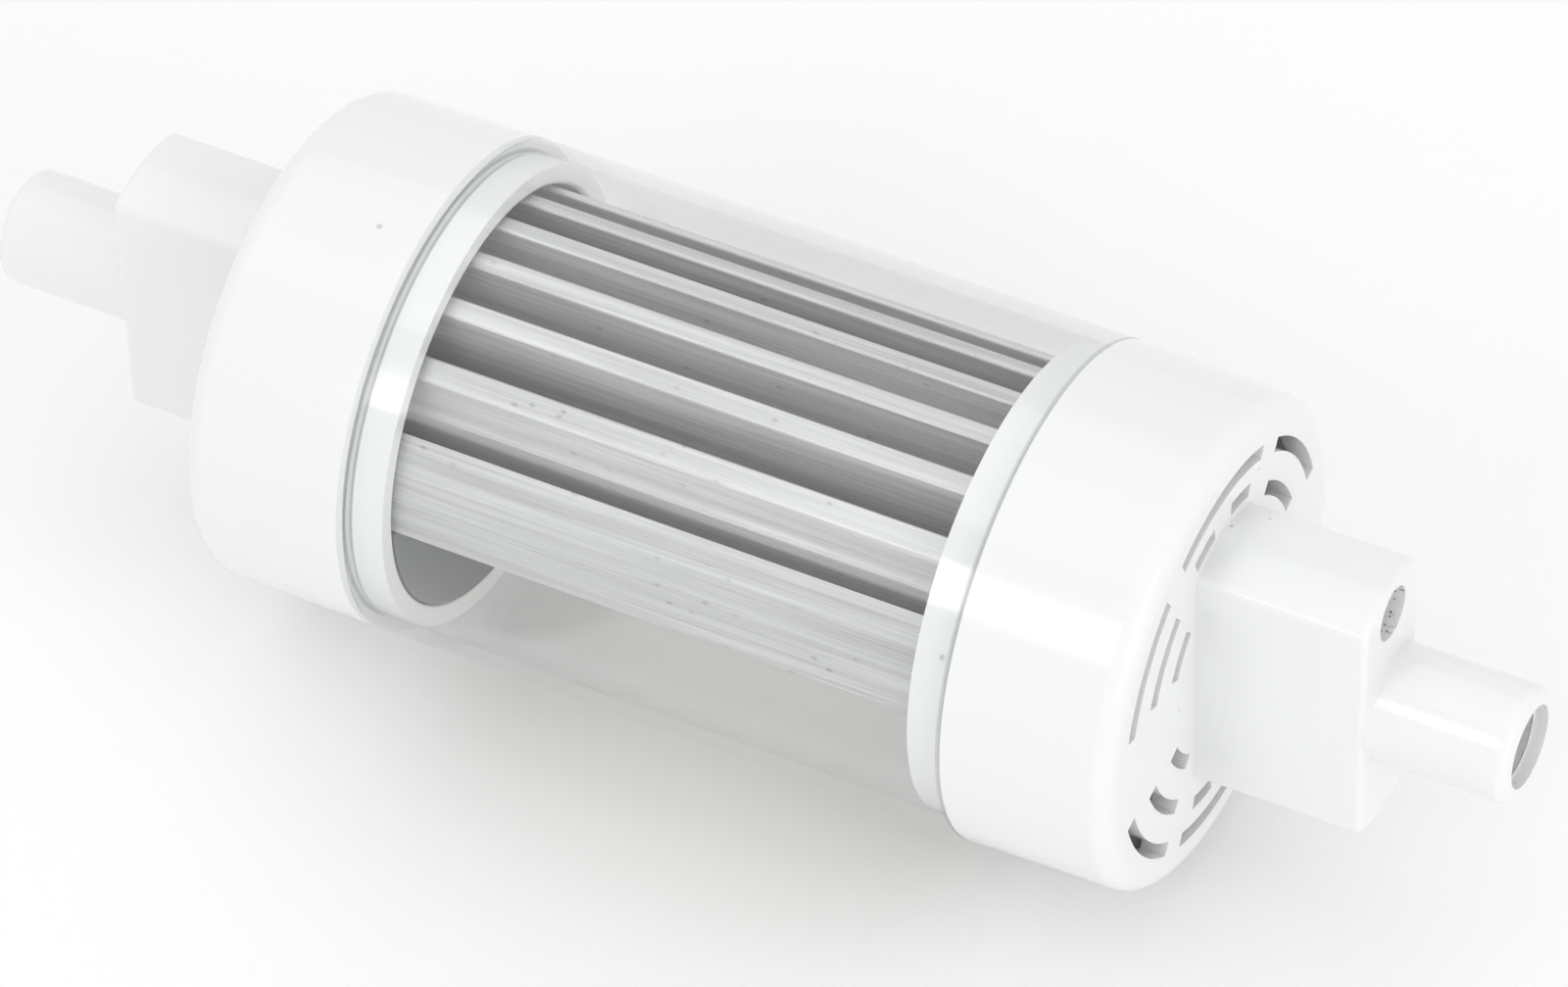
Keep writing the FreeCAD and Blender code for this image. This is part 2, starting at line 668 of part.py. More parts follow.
def led_centres():
    """Middle of each light source: as many columns as fit between the board screws."""
    level = sheet_value(BOARD_BOTTOM)
    first = sheet_value(f"{LEFT_BOARD_SCREW} + {LED_INSET}")
    last = sheet_value(f"{RIGHT_BOARD_SCREW} - {LED_INSET}")
    gaps = int((last - first) / size("led_least_pitch"))
    for column in range(gaps + 1):
        for line in range(LED_ROWS):
            along = first + (last - first) * column / gaps
            across = (line - (LED_ROWS - 1) / 2) * size("led_row_pitch")
            yield V(along, across, level)


def shape_group(label, solids):
    item = doc.addObject("Part::Feature", label)
    item.Label = label
    item.Shape = Part.makeCompound(solids)
    return item


def led_parts():
    """Package with an open window each, and the phosphor that fills the window."""
    long_side = size("led_length")
    short_side = size("led_width")
    height = size("led_height")
    border = size("led_window_border")
    depth = size("led_window_depth")
    packages = []
    windows = []
    for centre in led_centres():
        corner = centre - V(short_side / 2, long_side / 2, height)
        package = Part.makeBox(short_side, long_side, height, corner)
        window = Part.makeBox(
            short_side - 2 * border, long_side - 2 * border, depth, corner + V(border, border, 0),
        )
        packages.append(package.cut(window))
        windows.append(window)
    shape_group("led_packages", packages)
    shape_group("led_phosphor_windows", windows)


def board_screws():
    screws = []
    under = sheet_value(BOARD_BOTTOM)
    head_radius = size("board_screw_head_diameter") / 2
    head_height = size("board_screw_head_height")
    for _, place in BOARD_SCREWS:
        seat = V(sheet_value(place), 0, under)
        head = Part.makeCylinder(head_radius, head_height, seat, V(0, 0, -1))
        crown = under - head_height
        rim = [e for e in head.Edges if isinstance(e.Curve, Part.Circle) and near(e.CenterOfMass.z, crown)]
        head = head.makeFillet(head_height / 3, rim)
        slot_floor = seat - V(0, 0, head_height)
        for reach, narrow in ((DRIVE_REACH, DRIVE_WIDTH), (DRIVE_WIDTH, DRIVE_REACH)):
            long_way = 2 * head_radius * reach
            cross_way = 2 * head_radius * narrow
            corner = slot_floor - V(long_way / 2, cross_way / 2, 0)
            head = head.cut(Part.makeBox(long_way, cross_way, head_height / 2, corner))
        radius = size("board_screw_diameter") / 2
        shank = Part.makeCylinder(radius, size("board_screw_length"), seat, V(0, 0, 1))
        screws.append(head.fuse(shank))
    shape_group("board_screws", screws)


# Half-moon dividers in the collars, and the driver board behind the left one

def divider(label, back_stop, supply_holes):
    """Plate flush with the collar's end, with a skirt back to what it rests on."""
    body = new_body(label)
    disc = sketch_on(body, "disc", "YZ_Plane", offset=COLLAR_END)
    circle(disc, DIVIDER_RADIUS)
    pad(body, disc, f"{back_stop} - {COLLAR_END}")
    hollow = sketch_on(body, "hollow", "YZ_Plane", offset=DIVIDER_BACK)
    circle(hollow, f"{DIVIDER_RADIUS} - {d('divider_skirt_wall')}")
    pocket(body, hollow, f"{back_stop} - {DIVIDER_BACK} + {OVERRUN}", forwards=True)
    upper = sketch_on(body, "upper_half", "YZ_Plane", offset=f"{COLLAR_END} - {OVERRUN}")
    rectangle(upper, f"-{TUBE_RADIUS}", TUBE_RADIUS, DIVIDER_TOP, TUBE_RADIUS)
    pocket(body, upper, f"{back_stop} - {COLLAR_END} + 2 * {OVERRUN}", forwards=True)
    if supply_holes:
        holes = sketch_on(body, "supply_holes", "YZ_Plane", offset=f"{COLLAR_END} - {OVERRUN}")
        for sign in ("-", ""):
            circle(
                holes, f"{d('supply_hole_diameter')} / 2",
                centre_x=f"{sign}{d('supply_pitch')} / 2", centre_y=SUPPLY_LEVEL,
            )
        pocket(body, holes, f"{d('divider_thickness')} + 2 * {OVERRUN}", forwards=True)
    return body


def driver_board():
    """Half-moon circuit board on the seat ribs of the left cap, drawn on the right and mirrored."""
    body = new_body("driver_board_blank")
    disc = sketch_on(body, "disc", "YZ_Plane", offset=DRIVER_FRONT)
    circle(disc, DIVIDER_RADIUS)
    pad(body, disc, d("driver_board_thickness"))
    upper = sketch_on(body, "upper_half", "YZ_Plane", offset=f"{DRIVER_FRONT} - {OVERRUN}")
    rectangle(upper, f"-{TUBE_RADIUS}", TUBE_RADIUS, DIVIDER_TOP, TUBE_RADIUS)
    pocket(body, upper, f"{d('driver_board_thickness')} + 2 * {OVERRUN}", forwards=True)
    return body


# Driver components stand on the outer side of the board: local Z points away from the board

RECTIFIER_LEVEL = (
    f"({d('rectifier_edge_clearance')} + {d('rectifier_length')} / 2 - {DIVIDER_RADIUS})"
)
CHIP_LEVEL = (
    f"({RECTIFIER_LEVEL} + ({d('rectifier_length')} + {d('chip_length')}) / 2 + {d('component_gap')})"
)
RESISTOR_LEVEL = (
    f"({CHIP_LEVEL} + ({d('chip_length')} + {d('resistor_diameter')}) / 2 + {d('component_gap')} / 2)"
)


CHIP_ROW_EDGE = (
    f"({d('package_width')} / 2 + {d('leg_reach')} + {d('chip_resistor_gap')} + {d('chip_resistor_width')})"
)


def beside_rim(diameter):
    """Place across and up for a round component between the chip resistors and the lower rim."""
    across = f"({CHIP_ROW_EDGE} + {d('component_side_gap')} + {diameter} / 2)"
    reach = f"({RIB_INNER_RADIUS} - {d('component_rim_clearance')} - {diameter} / 2)"
    return across, f"(-sqrt({reach}^2 - {across}^2))"


def on_driver_board(item, across, level):
    item.Placement = FreeCAD.Placement(V(0, 0, 0), FreeCAD.Rotation(V(0, 1, 0), -90))
    bind(item, "Placement.Base.x", f"-{SEAT}")
    bind(item, "Placement.Base.y", across)
    bind(item, "Placement.Base.z", level)


def turned_component(label, steps, lead_pitch, across, level):
    """Round component on two leads, from (low, high, radius) steps above the board."""
    body = new_body(label)
    sketch = sketch_on(body, "profile", "XZ_Plane")
    corners = [("0", steps[0][0])]
    for low, high, radius in steps:
        corners += [(radius, low), (radius, high)]
    corners.append(("0", steps[-1][1]))
    outline(sketch, corners)
    feature = body.newObject("PartDesign::Revolution", "turned")
    feature.Profile = sketch
    feature.ReferenceAxis = (sketch, ["V_Axis"])
    feature.Angle = FULL_TURN
    pins = sketch_on(body, "leads", "XY_Plane")
    for sign in ("-", ""):
        circle(pins, f"{d('component_lead_diameter')} / 2", centre_x=f"{sign}{lead_pitch} / 2")
    pad(body, pins, f"{steps[0][0]} + {d('component_lead_diameter')}")
    on_driver_board(body, across, level)
    return body


def smoothing_capacitor():
    """Can with a rolled groove near its foot and a rolled edge round its top."""
    diameter = d("capacitor_diameter")
    radius = f"({diameter} / 2)"
    base = d("component_stand_off")
    groove = d("capacitor_groove")
    top = f"({base} + {d('capacitor_height')})"
    across, level = beside_rim(diameter)
    turned_component("smoothing_capacitor", [
        (base, f"{base} + 4 * {groove}", radius),
        (f"{base} + 4 * {groove}", f"{base} + 6 * {groove}", f"{radius} - {groove}"),
        (f"{base} + 6 * {groove}", f"{top} - {groove}", radius),
        (f"{top} - {groove}", top, f"{radius} - {groove}"),
    ], d("capacitor_lead_pitch"), f"-{across}", level)


def inductor():
    """Ferrite drum with a flange at each end, and the winding between them."""
    diameter = d("inductor_diameter")
    radius = f"({diameter} / 2)"
    base = d("component_stand_off")
    spool = f"({radius} / 2)"
    low = f"({base} + {d('inductor_flange')})"
    top = f"({base} + {d('inductor_height')})"
    high = f"({top} - {d('inductor_flange')})"
    across, level = beside_rim(diameter)
    turned_component("inductor_core", [
        (base, low, radius), (low, high, spool), (high, top, radius),
    ], d("inductor_lead_pitch"), across, level)
    body = new_body("inductor_winding")
    ring = sketch_on(body, "ring", "XY_Plane", offset=low)
    circle(ring, f"{radius} - {d('inductor_winding_inset')}")
    circle(ring, spool)
    pad(body, ring, f"{high} - {low}")
    on_driver_board(body, across, level)


def fusible_resistor():
    """Upright round resistor with an end cap at each end."""
    radius = f"({d('resistor_diameter')} / 2)"
    waist = f"({radius} - {d('resistor_cap_wall')})"
    shoulder = f"({radius} - {d('resistor_cap_shoulder')})"
    cap = d("resistor_cap_length")
    base = cap
    top = f"({base} + {d('resistor_length')})"
    turned_component("fusible_resistor", [
        (base, f"{base} + {cap}", shoulder),
        (f"{base} + {cap}", f"{base} + 2 * {cap}", radius),
        (f"{base} + 2 * {cap}", f"{top} - 2 * {cap}", waist),
        (f"{top} - 2 * {cap}", f"{top} - {cap}", radius),
        (f"{top} - {cap}", top, shoulder),
    ], d("resistor_lead_pitch"), "0", RESISTOR_LEVEL)


def legged_package(label, length, height, legs, level):
    """Moulded package with flat legs along its two long sides."""
    width = size("package_width")
    thick = size("leg_thickness")
    leg_width = size("leg_width")
    reach = size("leg_reach")
    moulding = Part.makeBox(length, width, height - thick, V(-length / 2, -width / 2, thick))
    top_edges = [edge for edge in moulding.Edges if near(edge.CenterOfMass.z, height)]
    moulding = moulding.makeChamfer(size("package_chamfer"), top_edges)
    frames = []
    for number in range(legs):
        along = (number + 0.5) * length / legs - length / 2 - leg_width / 2
        frames.append(Part.makeBox(leg_width, width + 2 * reach, thick, V(along, -width / 2 - reach, 0)))
    item = doc.addObject("Part::Feature", label)
    item.Label = label
    item.Shape = moulding.multiFuse(frames).removeSplitter()
    on_driver_board(item, "0", level)


def chip_resistors():
    """Small surface parts in a row on each side of the rectifier."""
    long_side = size("chip_resistor_length")
    short_side = size("chip_resistor_width")
    height = size("chip_resistor_height")
    across = sheet_value(CHIP_ROW_EDGE) - short_side / 2
    chips = []
    for number in range(3):
        for side in (-1, 1):
            along = number * size("chip_resistor_pitch")
            corner = V(along - long_side / 2, side * across - short_side / 2, 0)
            chips.append(Part.makeBox(long_side, short_side, height, corner))
    on_driver_board(shape_group("chip_resistors", chips), "0", RECTIFIER_LEVEL)


# Leads: round wire along straight runs joined by arcs

def bent_wire(label, points, radius, bend):
    """Solid wire through points, with an arc of one radius at every inner point."""
    edges = []
    start = points[0]
    for before, corner, after in zip(points, points[1:], points[2:]):
        back = (before - corner).normalize()
        ahead = (after - corner).normalize()
        angle = back.getAngle(ahead)
        trim = bend / math.tan(angle / 2)
        enter = corner + back * trim
        leave = corner + ahead * trim
        inward = (back + ahead).normalize()
        middle = corner + inward * (bend / math.sin(angle / 2) - bend)
        edges.append(Part.LineSegment(start, enter).toShape())
        edges.append(Part.Arc(enter, middle, leave).toShape())
        start = leave
    edges.append(Part.LineSegment(start, points[-1]).toShape())
    path = Part.Wire(edges)
    direction = (points[1] - points[0]).normalize()
    section = Part.Wire([Part.Circle(points[0], direction, radius).toShape()])
    item = doc.addObject("Part::Feature", label)
    item.Label = label
    item.Shape = path.makePipeShell([section], True, True)
    return item


def mains_leads():
    """Both leads cross the caps to the driver board, the right one along a gap between two fins."""
    radius = size("mains_lead_diameter") / 2
    bend = size("mains_lead_bend")
    tail = sheet_value(f"{WEB_BACK} - {d('contact_tail')}")
    rise = size("contact_rise")
    seat = sheet_value(SEAT)
    turn = sheet_value(f"{FACE_INNER} - {d('mains_lead_wall_gap')} - {d('mains_lead_diameter')} / 2")
    side = size("fin_pitch")
    channel = sheet_value(f"{BASE_TOP} + {d('mains_lead_clearance')}") + radius
    entry = sheet_value(f"{DIVIDER_TOP} - {d('mains_entry_depth')}")
    bent_wire("left_mains_lead", [
        V(-tail, 0, rise), V(-turn, 0, rise), V(-turn, -side, entry), V(-seat, -side, entry),
    ], radius, bend)
    bent_wire("right_mains_lead", [
        V(tail, 0, rise), V(turn, 0, rise), V(turn, side, channel),
        V(-turn, side, channel), V(-turn, side, entry), V(-seat, side, entry),
    ], radius, bend)


def supply_leads():
    """Two short leads from the driver board through the divider to the end of the light board."""
    for label, side in (("led_supply_lead", -1), ("led_return_lead", 1)):
        wire = doc.addObject("Part::Cylinder", label)
        wire.Label = label
        wire.Placement.Rotation = FreeCAD.Rotation(V(0, 1, 0), 90)
        bind(wire, "Radius", f"{d('supply_diameter')} / 2")
        bind(wire, "Height", f"{DRIVER_FRONT} - {BOARD_END} + {d('supply_overlap')}")
        bind(wire, "Placement.Base.x", f"-{DRIVER_FRONT}")
        bind(wire, "Placement.Base.y", f"{side} * {d('supply_pitch')} / 2")
        bind(wire, "Placement.Base.z", SUPPLY_LEVEL)


# Build every piece

right_cap = end_cap("right_end_cap")
right_contact = contact("right_contact")
right_screw = cap_screw("right_cap_screw")
clear_tube()
heat_sink()
flat_board("thermal_pad", d("base_level"), d("pad_thickness"))
flat_board("led_board", PAD_BOTTOM, d("board_thickness"))
led_parts()
board_screws()
divider("right_divider", SEAT, supply_holes=False)
left_divider_blank = divider("left_divider_blank", DRIVER_FRONT, supply_holes=True)
driver_blank = driver_board()
smoothing_capacitor()
inductor()
legged_package("bridge_rectifier", size("rectifier_length"), size("rectifier_height"), 2, RECTIFIER_LEVEL)
legged_package("control_chip", size("chip_length"), size("chip_height"), 4, CHIP_LEVEL)
fusible_resistor()
chip_resistors()
mains_leads()
supply_leads()
mirror_of(right_cap, "left_end_cap")
mirror_of(right_contact, "left_contact")
mirror_of(right_screw, "left_cap_screw")
mirror_of(left_divider_blank, "left_divider")
mirror_of(driver_blank, "driver_board")
doc.recompute()

NODES = (
    "left_end_cap", "right_end_cap", "clear_tube", "heat_sink", "thermal_pad", "led_board",
    "led_packages", "led_phosphor_windows", "board_screws", "left_contact", "right_contact",
    "left_cap_screw", "right_cap_screw", "left_divider", "right_divider", "driver_board",
    "smoothing_capacitor", "inductor_core", "inductor_winding", "bridge_rectifier",
    "control_chip", "fusible_resistor", "chip_resistors", "left_mains_lead", "right_mains_lead",
    "led_supply_lead", "led_return_lead",
)

for item in doc.Objects:
    if "Invalid" in item.State or "Error" in item.State:
        raise RuntimeError(f"{item.Name} failed: {item.State}")

os.makedirs("parts", exist_ok=True)
for node in NODES:
    shape = doc.getObject(node).Shape
    if shape.isNull() or not shape.isValid():
        raise RuntimeError(f"{node} has no valid shape")
for node in NODES:
    doc.getObject(node).Shape.exportStep(f"parts/{node}.step")
    print(node, round(doc.getObject(node).Shape.Volume, 1), len(doc.getObject(node).Shape.Solids))
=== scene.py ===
"""Looks of a double-ended linear LED bulb, laid out as an add-on and run as a script.

The CAD nodes give the shape. This file gives them their finishes, and adds the small things
the shape leaves out: the turns of the inductor and the solder joints of both boards.
Lengths are in metres. X runs along the bulb and Z points up through the fins.
"""

import json
import math

import bpy
from bpy.props import FloatProperty, FloatVectorProperty, IntProperty, PointerProperty
from mathutils import Matrix, Vector


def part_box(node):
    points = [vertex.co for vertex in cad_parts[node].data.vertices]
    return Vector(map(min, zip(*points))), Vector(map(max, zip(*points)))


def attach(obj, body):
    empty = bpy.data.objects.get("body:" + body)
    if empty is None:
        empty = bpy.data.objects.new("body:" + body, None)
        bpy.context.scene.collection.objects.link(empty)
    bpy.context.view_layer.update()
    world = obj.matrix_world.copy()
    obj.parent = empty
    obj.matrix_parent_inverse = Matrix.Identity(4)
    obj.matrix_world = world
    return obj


bl_info = {
    "name": "Linear LED bulb looks",
    "version": (1, 0, 0),
    "blender": (4, 5, 0),
    "location": "View3D > Sidebar > LED bulb",
    "description": "Finishes, small parts and studio for a double-ended linear LED bulb",
    "category": "Object",
}

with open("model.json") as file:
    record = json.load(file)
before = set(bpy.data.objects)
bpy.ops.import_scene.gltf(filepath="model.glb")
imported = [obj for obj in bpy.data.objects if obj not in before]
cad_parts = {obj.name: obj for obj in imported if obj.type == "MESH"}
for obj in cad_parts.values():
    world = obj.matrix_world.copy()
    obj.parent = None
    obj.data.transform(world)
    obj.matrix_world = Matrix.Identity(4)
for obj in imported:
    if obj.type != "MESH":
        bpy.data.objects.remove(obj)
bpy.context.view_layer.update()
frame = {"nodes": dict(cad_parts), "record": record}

MM = 0.001

SHOULDER = 23.4 * MM  # where the caps' shoulders stand, from the middle of the bulb
CONTACT_RISE = 0.8 * MM  # height of the contact axis above the bulb's axis
SCREW_RISE = 9.1 * MM  # height of the screw tunnel above the bulb's axis
TUNNEL_RADIUS = 2.0 * MM
TUNNEL_START = 44.0 * MM  # where the bits in the screw tunnel begin, from the middle of the bulb

# Small marks on the caps: place and radius in millimetres
CAP_SPECKS = (
    ((22.3, -15.5, 7.3), 0.32),
    ((-26.6, -4.4, 17.7), 0.3),
    ((23.3, 6.8, 16.9), 0.3),
    ((35.9, 5.7, 12.2), 0.22),
    ((36.2, 0.7, 11.4), 0.22),
    ((38.1, 2.8, 11.0), 0.16),
    ((35.9, -6.7, 0.2), 0.18),
)

# Driver parts with solder joints, and how far the joints stand from their middles, in millimetres
DRIVER_JOINTS = (("smoothing_capacitor", 1.25), ("inductor_core", 1.1), ("fusible_resistor", 0.5))

FLOOR_LEVEL = -20.5 * MM
FLOOR_HALF = 3.0

# Softboxes: side they stand on, place, and width and height
SOFTBOXES = (
    ("front", (-0.21, -0.72, 0.5), (0.32, 0.3)),
    ("top", (-0.2, 0.05, 0.95), (1.1, 0.9)),
    ("side", (0.7, -0.3, 0.25), (0.5, 0.5)),
)

# Photograph's camera, found from the rims of the tube and caps
CAMERA_PLACE = (0.231329, -0.424086, 0.484363)
CAMERA_TURN = (0.782920, 0.021183, 0.474092)
CAMERA_LENS = 225.0


# Shader helpers

class Tree:
    """Short names for building one node tree."""

    def __init__(self, tree):
        self.tree = tree

    def add(self, kind, **settings):
        node = self.tree.nodes.new(kind)
        for name, value in settings.items():
            setattr(node, name, value)
        return node

    def link(self, source, target):
        self.tree.links.new(source, target)

    def value(self, socket, value):
        """Link a socket, or set a constant on it."""
        if isinstance(value, bpy.types.NodeSocket):
            self.link(value, socket)
        else:
            socket.default_value = value

    def math(self, operation, *values):
        node = self.add("ShaderNodeMath", operation=operation)
        for number, value in enumerate(values):
            self.value(node.inputs[number], value)
        return node.outputs[0]

    def distance(self, first, second):
        node = self.add("ShaderNodeVectorMath", operation="DISTANCE")
        self.value(node.inputs[0], first)
        self.value(node.inputs[1], second)
        return node.outputs["Value"]

    def between(self, value, low, high, to_low=0.0, to_high=1.0):
        """Smooth step of a value from one range to another."""
        node = self.add("ShaderNodeMapRange", interpolation_type="SMOOTHSTEP")
        self.value(node.inputs["Value"], value)
        limits = {"From Min": low, "From Max": high, "To Min": to_low, "To Max": to_high}
        for name, number in limits.items():
            self.value(node.inputs[name], number)
        return node.outputs["Result"]

    def mix(self, factor, first, second):
        node = self.add("ShaderNodeMix", data_type="RGBA")
        self.value(node.inputs[0], factor)
        self.value(node.inputs[6], first)
        self.value(node.inputs[7], second)
        return node.outputs[2]

    def noise(self, vector, scale, detail=3.0, roughness=0.5):
        node = self.add("ShaderNodeTexNoise")
        self.link(vector, node.inputs["Vector"])
        node.inputs["Scale"].default_value = scale
        node.inputs["Detail"].default_value = detail
        node.inputs["Roughness"].default_value = roughness
        return node.outputs["Fac"]

    def stretched(self, vector, factors):
        node = self.add("ShaderNodeMapping")
        self.link(vector, node.inputs["Vector"])
        node.inputs["Scale"].default_value = factors
        return node.outputs["Vector"]

    def place(self):
        """Object coordinates, in metres."""
        return self.add("ShaderNodeTexCoord").outputs["Object"]

    def axes(self, vector):
        node = self.add("ShaderNodeSeparateXYZ")
        self.link(vector, node.inputs[0])
        return node.outputs


def rgba(colour):
    return (*colour[:3], 1.0)


def new_group(name, inputs, outputs):
    """Shader node group with named sockets, and its tree helper with both ends."""
    group = bpy.data.node_groups.new(name, "ShaderNodeTree")
    for socket_name, kind, default in inputs:
        socket = group.interface.new_socket(socket_name, in_out="INPUT", socket_type=kind)
        if default is not None:
            socket.default_value = default
    for socket_name, kind in outputs:
        group.interface.new_socket(socket_name, in_out="OUTPUT", socket_type=kind)
    tree = Tree(group)
    return group, tree, tree.add("NodeGroupInput"), tree.add("NodeGroupOutput")


def surface_wear_group():
    """Uneven tone, uneven gloss and a fine bump, used by every plain moulded or coated finish."""
    group, tree, start, end = new_group(
        "Moulded surface",
        [
            ("Colour", "NodeSocketColor", (0.8, 0.8, 0.8, 1.0)),
            ("Tone", "NodeSocketFloat", 0.02),
            ("Roughness", "NodeSocketFloat", 0.35),
            ("Roughness spread", "NodeSocketFloat", 0.05),
            ("Grain", "NodeSocketFloat", 900.0),
            ("Bump", "NodeSocketFloat", 0.05),
        ],
        [("Colour", "NodeSocketColor"), ("Roughness", "NodeSocketFloat"), ("Normal", "NodeSocketVector")],
    )
    place = tree.place()
    broad = tree.noise(place, 60.0, 3.0)
    fine = tree.add("ShaderNodeTexNoise")
    tree.link(place, fine.inputs["Vector"])
    tree.link(start.outputs["Grain"], fine.inputs["Scale"])
    fine.inputs["Detail"].default_value = 2.0
    swing = tree.math("MULTIPLY", tree.math("SUBTRACT", broad, 0.5), start.outputs["Tone"])
    shade = tree.add("ShaderNodeHueSaturation")
    tree.link(start.outputs["Colour"], shade.inputs["Color"])
    tree.link(tree.math("ADD", swing, 1.0), shade.inputs["Value"])
    tree.link(shade.outputs["Color"], end.inputs["Colour"])
    spread = tree.math("MULTIPLY", tree.math("SUBTRACT", broad, 0.5), start.outputs["Roughness spread"])
    tree.link(tree.math("ADD", start.outputs["Roughness"], spread), end.inputs["Roughness"])
    bump = tree.add("ShaderNodeBump")
    bump.inputs["Distance"].default_value = 0.02 * MM
    tree.link(start.outputs["Bump"], bump.inputs["Strength"])
    tree.link(fine.outputs["Fac"], bump.inputs["Height"])
    tree.link(bump.outputs["Normal"], end.inputs["Normal"])
    return group


def drawn_metal_group():
    """Fine die lines along X, broader bands and small pits, for extruded and drawn metal."""
    group, tree, start, end = new_group(
        "Drawn metal",
        [
            ("Colour", "NodeSocketColor", (0.8, 0.8, 0.8, 1.0)),
            ("Contrast", "NodeSocketFloat", 0.5),
            ("Line scale", "NodeSocketFloat", 5000.0),
            ("Line depth", "NodeSocketFloat", 0.3),
            ("Roughness", "NodeSocketFloat", 0.3),
        ],
        [("Colour", "NodeSocketColor"), ("Roughness", "NodeSocketFloat"), ("Normal", "NodeSocketVector")],
    )
    place = tree.place()
    lines = tree.add("ShaderNodeTexNoise")
    tree.link(tree.stretched(place, (0.012, 1.0, 1.0)), lines.inputs["Vector"])
    tree.link(start.outputs["Line scale"], lines.inputs["Scale"])
    lines.inputs["Detail"].default_value = 4.0
    lines.inputs["Roughness"].default_value = 0.62
    bands = tree.noise(tree.stretched(place, (0.03, 1.0, 1.0)), 1100.0, 3.0)
    pits = tree.add("ShaderNodeTexVoronoi")
    tree.link(tree.stretched(place, (0.6, 1.0, 1.0)), pits.inputs["Vector"])
    pits.inputs["Scale"].default_value = 900.0
    patches = tree.between(tree.noise(place, 160.0, 2.0), 0.5, 0.62)
    pit = tree.math("MULTIPLY", tree.between(pits.outputs["Distance"], 0.08, 0.2, 1.0, 0.0), patches)
    band_swing = tree.math("SUBTRACT", bands, 0.5)
    streaks = tree.math("ADD", tree.math("SUBTRACT", lines.outputs["Fac"], 0.5), band_swing)
    tone = tree.math("MULTIPLY_ADD", streaks, start.outputs["Contrast"], 1.0)
    shade = tree.add("ShaderNodeHueSaturation")
    tree.link(start.outputs["Colour"], shade.inputs["Color"])
    tree.link(tree.math("SUBTRACT", tone, tree.math("MULTIPLY", pit, 0.3)), shade.inputs["Value"])
    tree.link(shade.outputs["Color"], end.inputs["Colour"])
    gloss = tree.math("MULTIPLY", band_swing, 0.3)
    tree.link(tree.math("ADD", start.outputs["Roughness"], gloss), end.inputs["Roughness"])
    bump = tree.add("ShaderNodeBump")
    bump.inputs["Distance"].default_value = 0.04 * MM
    tree.link(start.outputs["Line depth"], bump.inputs["Strength"])
    height = tree.math("SUBTRACT", lines.outputs["Fac"], tree.math("MULTIPLY", pit, 0.5))
    tree.link(height, bump.inputs["Height"])
    tree.link(bump.outputs["Normal"], end.inputs["Normal"])
    return group


def new_material(name):
    material = bpy.data.materials.new(name)
    material.use_nodes = True
    tree = Tree(material.node_tree)
    shader = next(node for node in material.node_tree.nodes if node.type == "BSDF_PRINCIPLED")
    return material, tree, shader


def shared(name, build):
    """A node group made once and used by several materials."""
    return bpy.data.node_groups.get(name) or build()


def use_group(tree, group, shader, **inputs):
    """Put a surface group in front of a shader and set its inputs."""
    node = tree.add("ShaderNodeGroup")
    node.node_tree = group
    for name, value in inputs.items():
        tree.value(node.inputs[name.replace("_", " ")], value)
    tree.link(node.outputs["Colour"], shader.inputs["Base Color"])
    tree.link(node.outputs["Roughness"], shader.inputs["Roughness"])
    tree.link(node.outputs["Normal"], shader.inputs["Normal"])


def moulded(name, colour, roughness=0.35, tone=0.03, spread=0.06, grain=900.0, bump=0.05, coat=0.0):
    """Plastic, rubber or coating of one colour with slight unevenness."""
    material, tree, shader = new_material(name)
    use_group(
        tree, shared("Moulded surface", surface_wear_group), shader,
        Colour=rgba(colour), Tone=tone, Roughness=roughness, Roughness_spread=spread,
        Grain=grain, Bump=bump,
    )
    shader.inputs["Coat Weight"].default_value = coat
    return material


def metal(name, colour, roughness=0.3, line_scale=5000.0, line_depth=0.15, contrast=0.4, metallic=1.0):
    """Extruded or drawn metal of one colour, with its die lines."""
    material, tree, shader = new_material(name)
    use_group(
        tree, shared("Drawn metal", drawn_metal_group), shader,
        Colour=rgba(colour), Contrast=contrast, Roughness=roughness,
        Line_scale=line_scale, Line_depth=line_depth,
    )
    shader.inputs["Metallic"].default_value = metallic
    return material


# Finishes of the named slots

def from_axis(tree, y, z, rise):
    """Distance from a line along X at a height above the bulb's axis."""
    up = tree.math("SUBTRACT", z, rise)
    return tree.math("SQRT", tree.math("ADD", tree.math("MULTIPLY", y, y), tree.math("MULTIPLY", up, up)))


def speck_mask(tree, place, specks):
    """1 inside any of the small round marks, fading out at their edges."""
    mask = 0.0
    for point, radius in specks:
        away = tree.distance(place, tuple(value * MM for value in point))
        mask = tree.math("MAXIMUM", mask, tree.between(away, 0.35 * radius * MM, radius * MM, 1.0, 0.0))
    return mask


def joint_mask(tree, x, radius):
    """1 in the thin lines beside the cap's shoulder and under the cut ends of the clear tube."""
    low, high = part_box("clear_tube")
    shoulder = tree.math("ABSOLUTE", tree.math("SUBTRACT", tree.math("ABSOLUTE", x), SHOULDER))
    left_end = tree.math("ABSOLUTE", tree.math("SUBTRACT", x, low.x))
    right_end = tree.math("ABSOLUTE", tree.math("SUBTRACT", x, high.x))
    nearest = tree.math("MINIMUM", shoulder, tree.math("MINIMUM", left_end, right_end))
    under_tube = tree.between(radius, high.z - 0.95 * MM, high.z - 0.85 * MM, 1.0, 0.0)
    return tree.math("MULTIPLY", tree.between(nearest, 0.07 * MM, 0.15 * MM, 1.0, 0.0), under_tube)


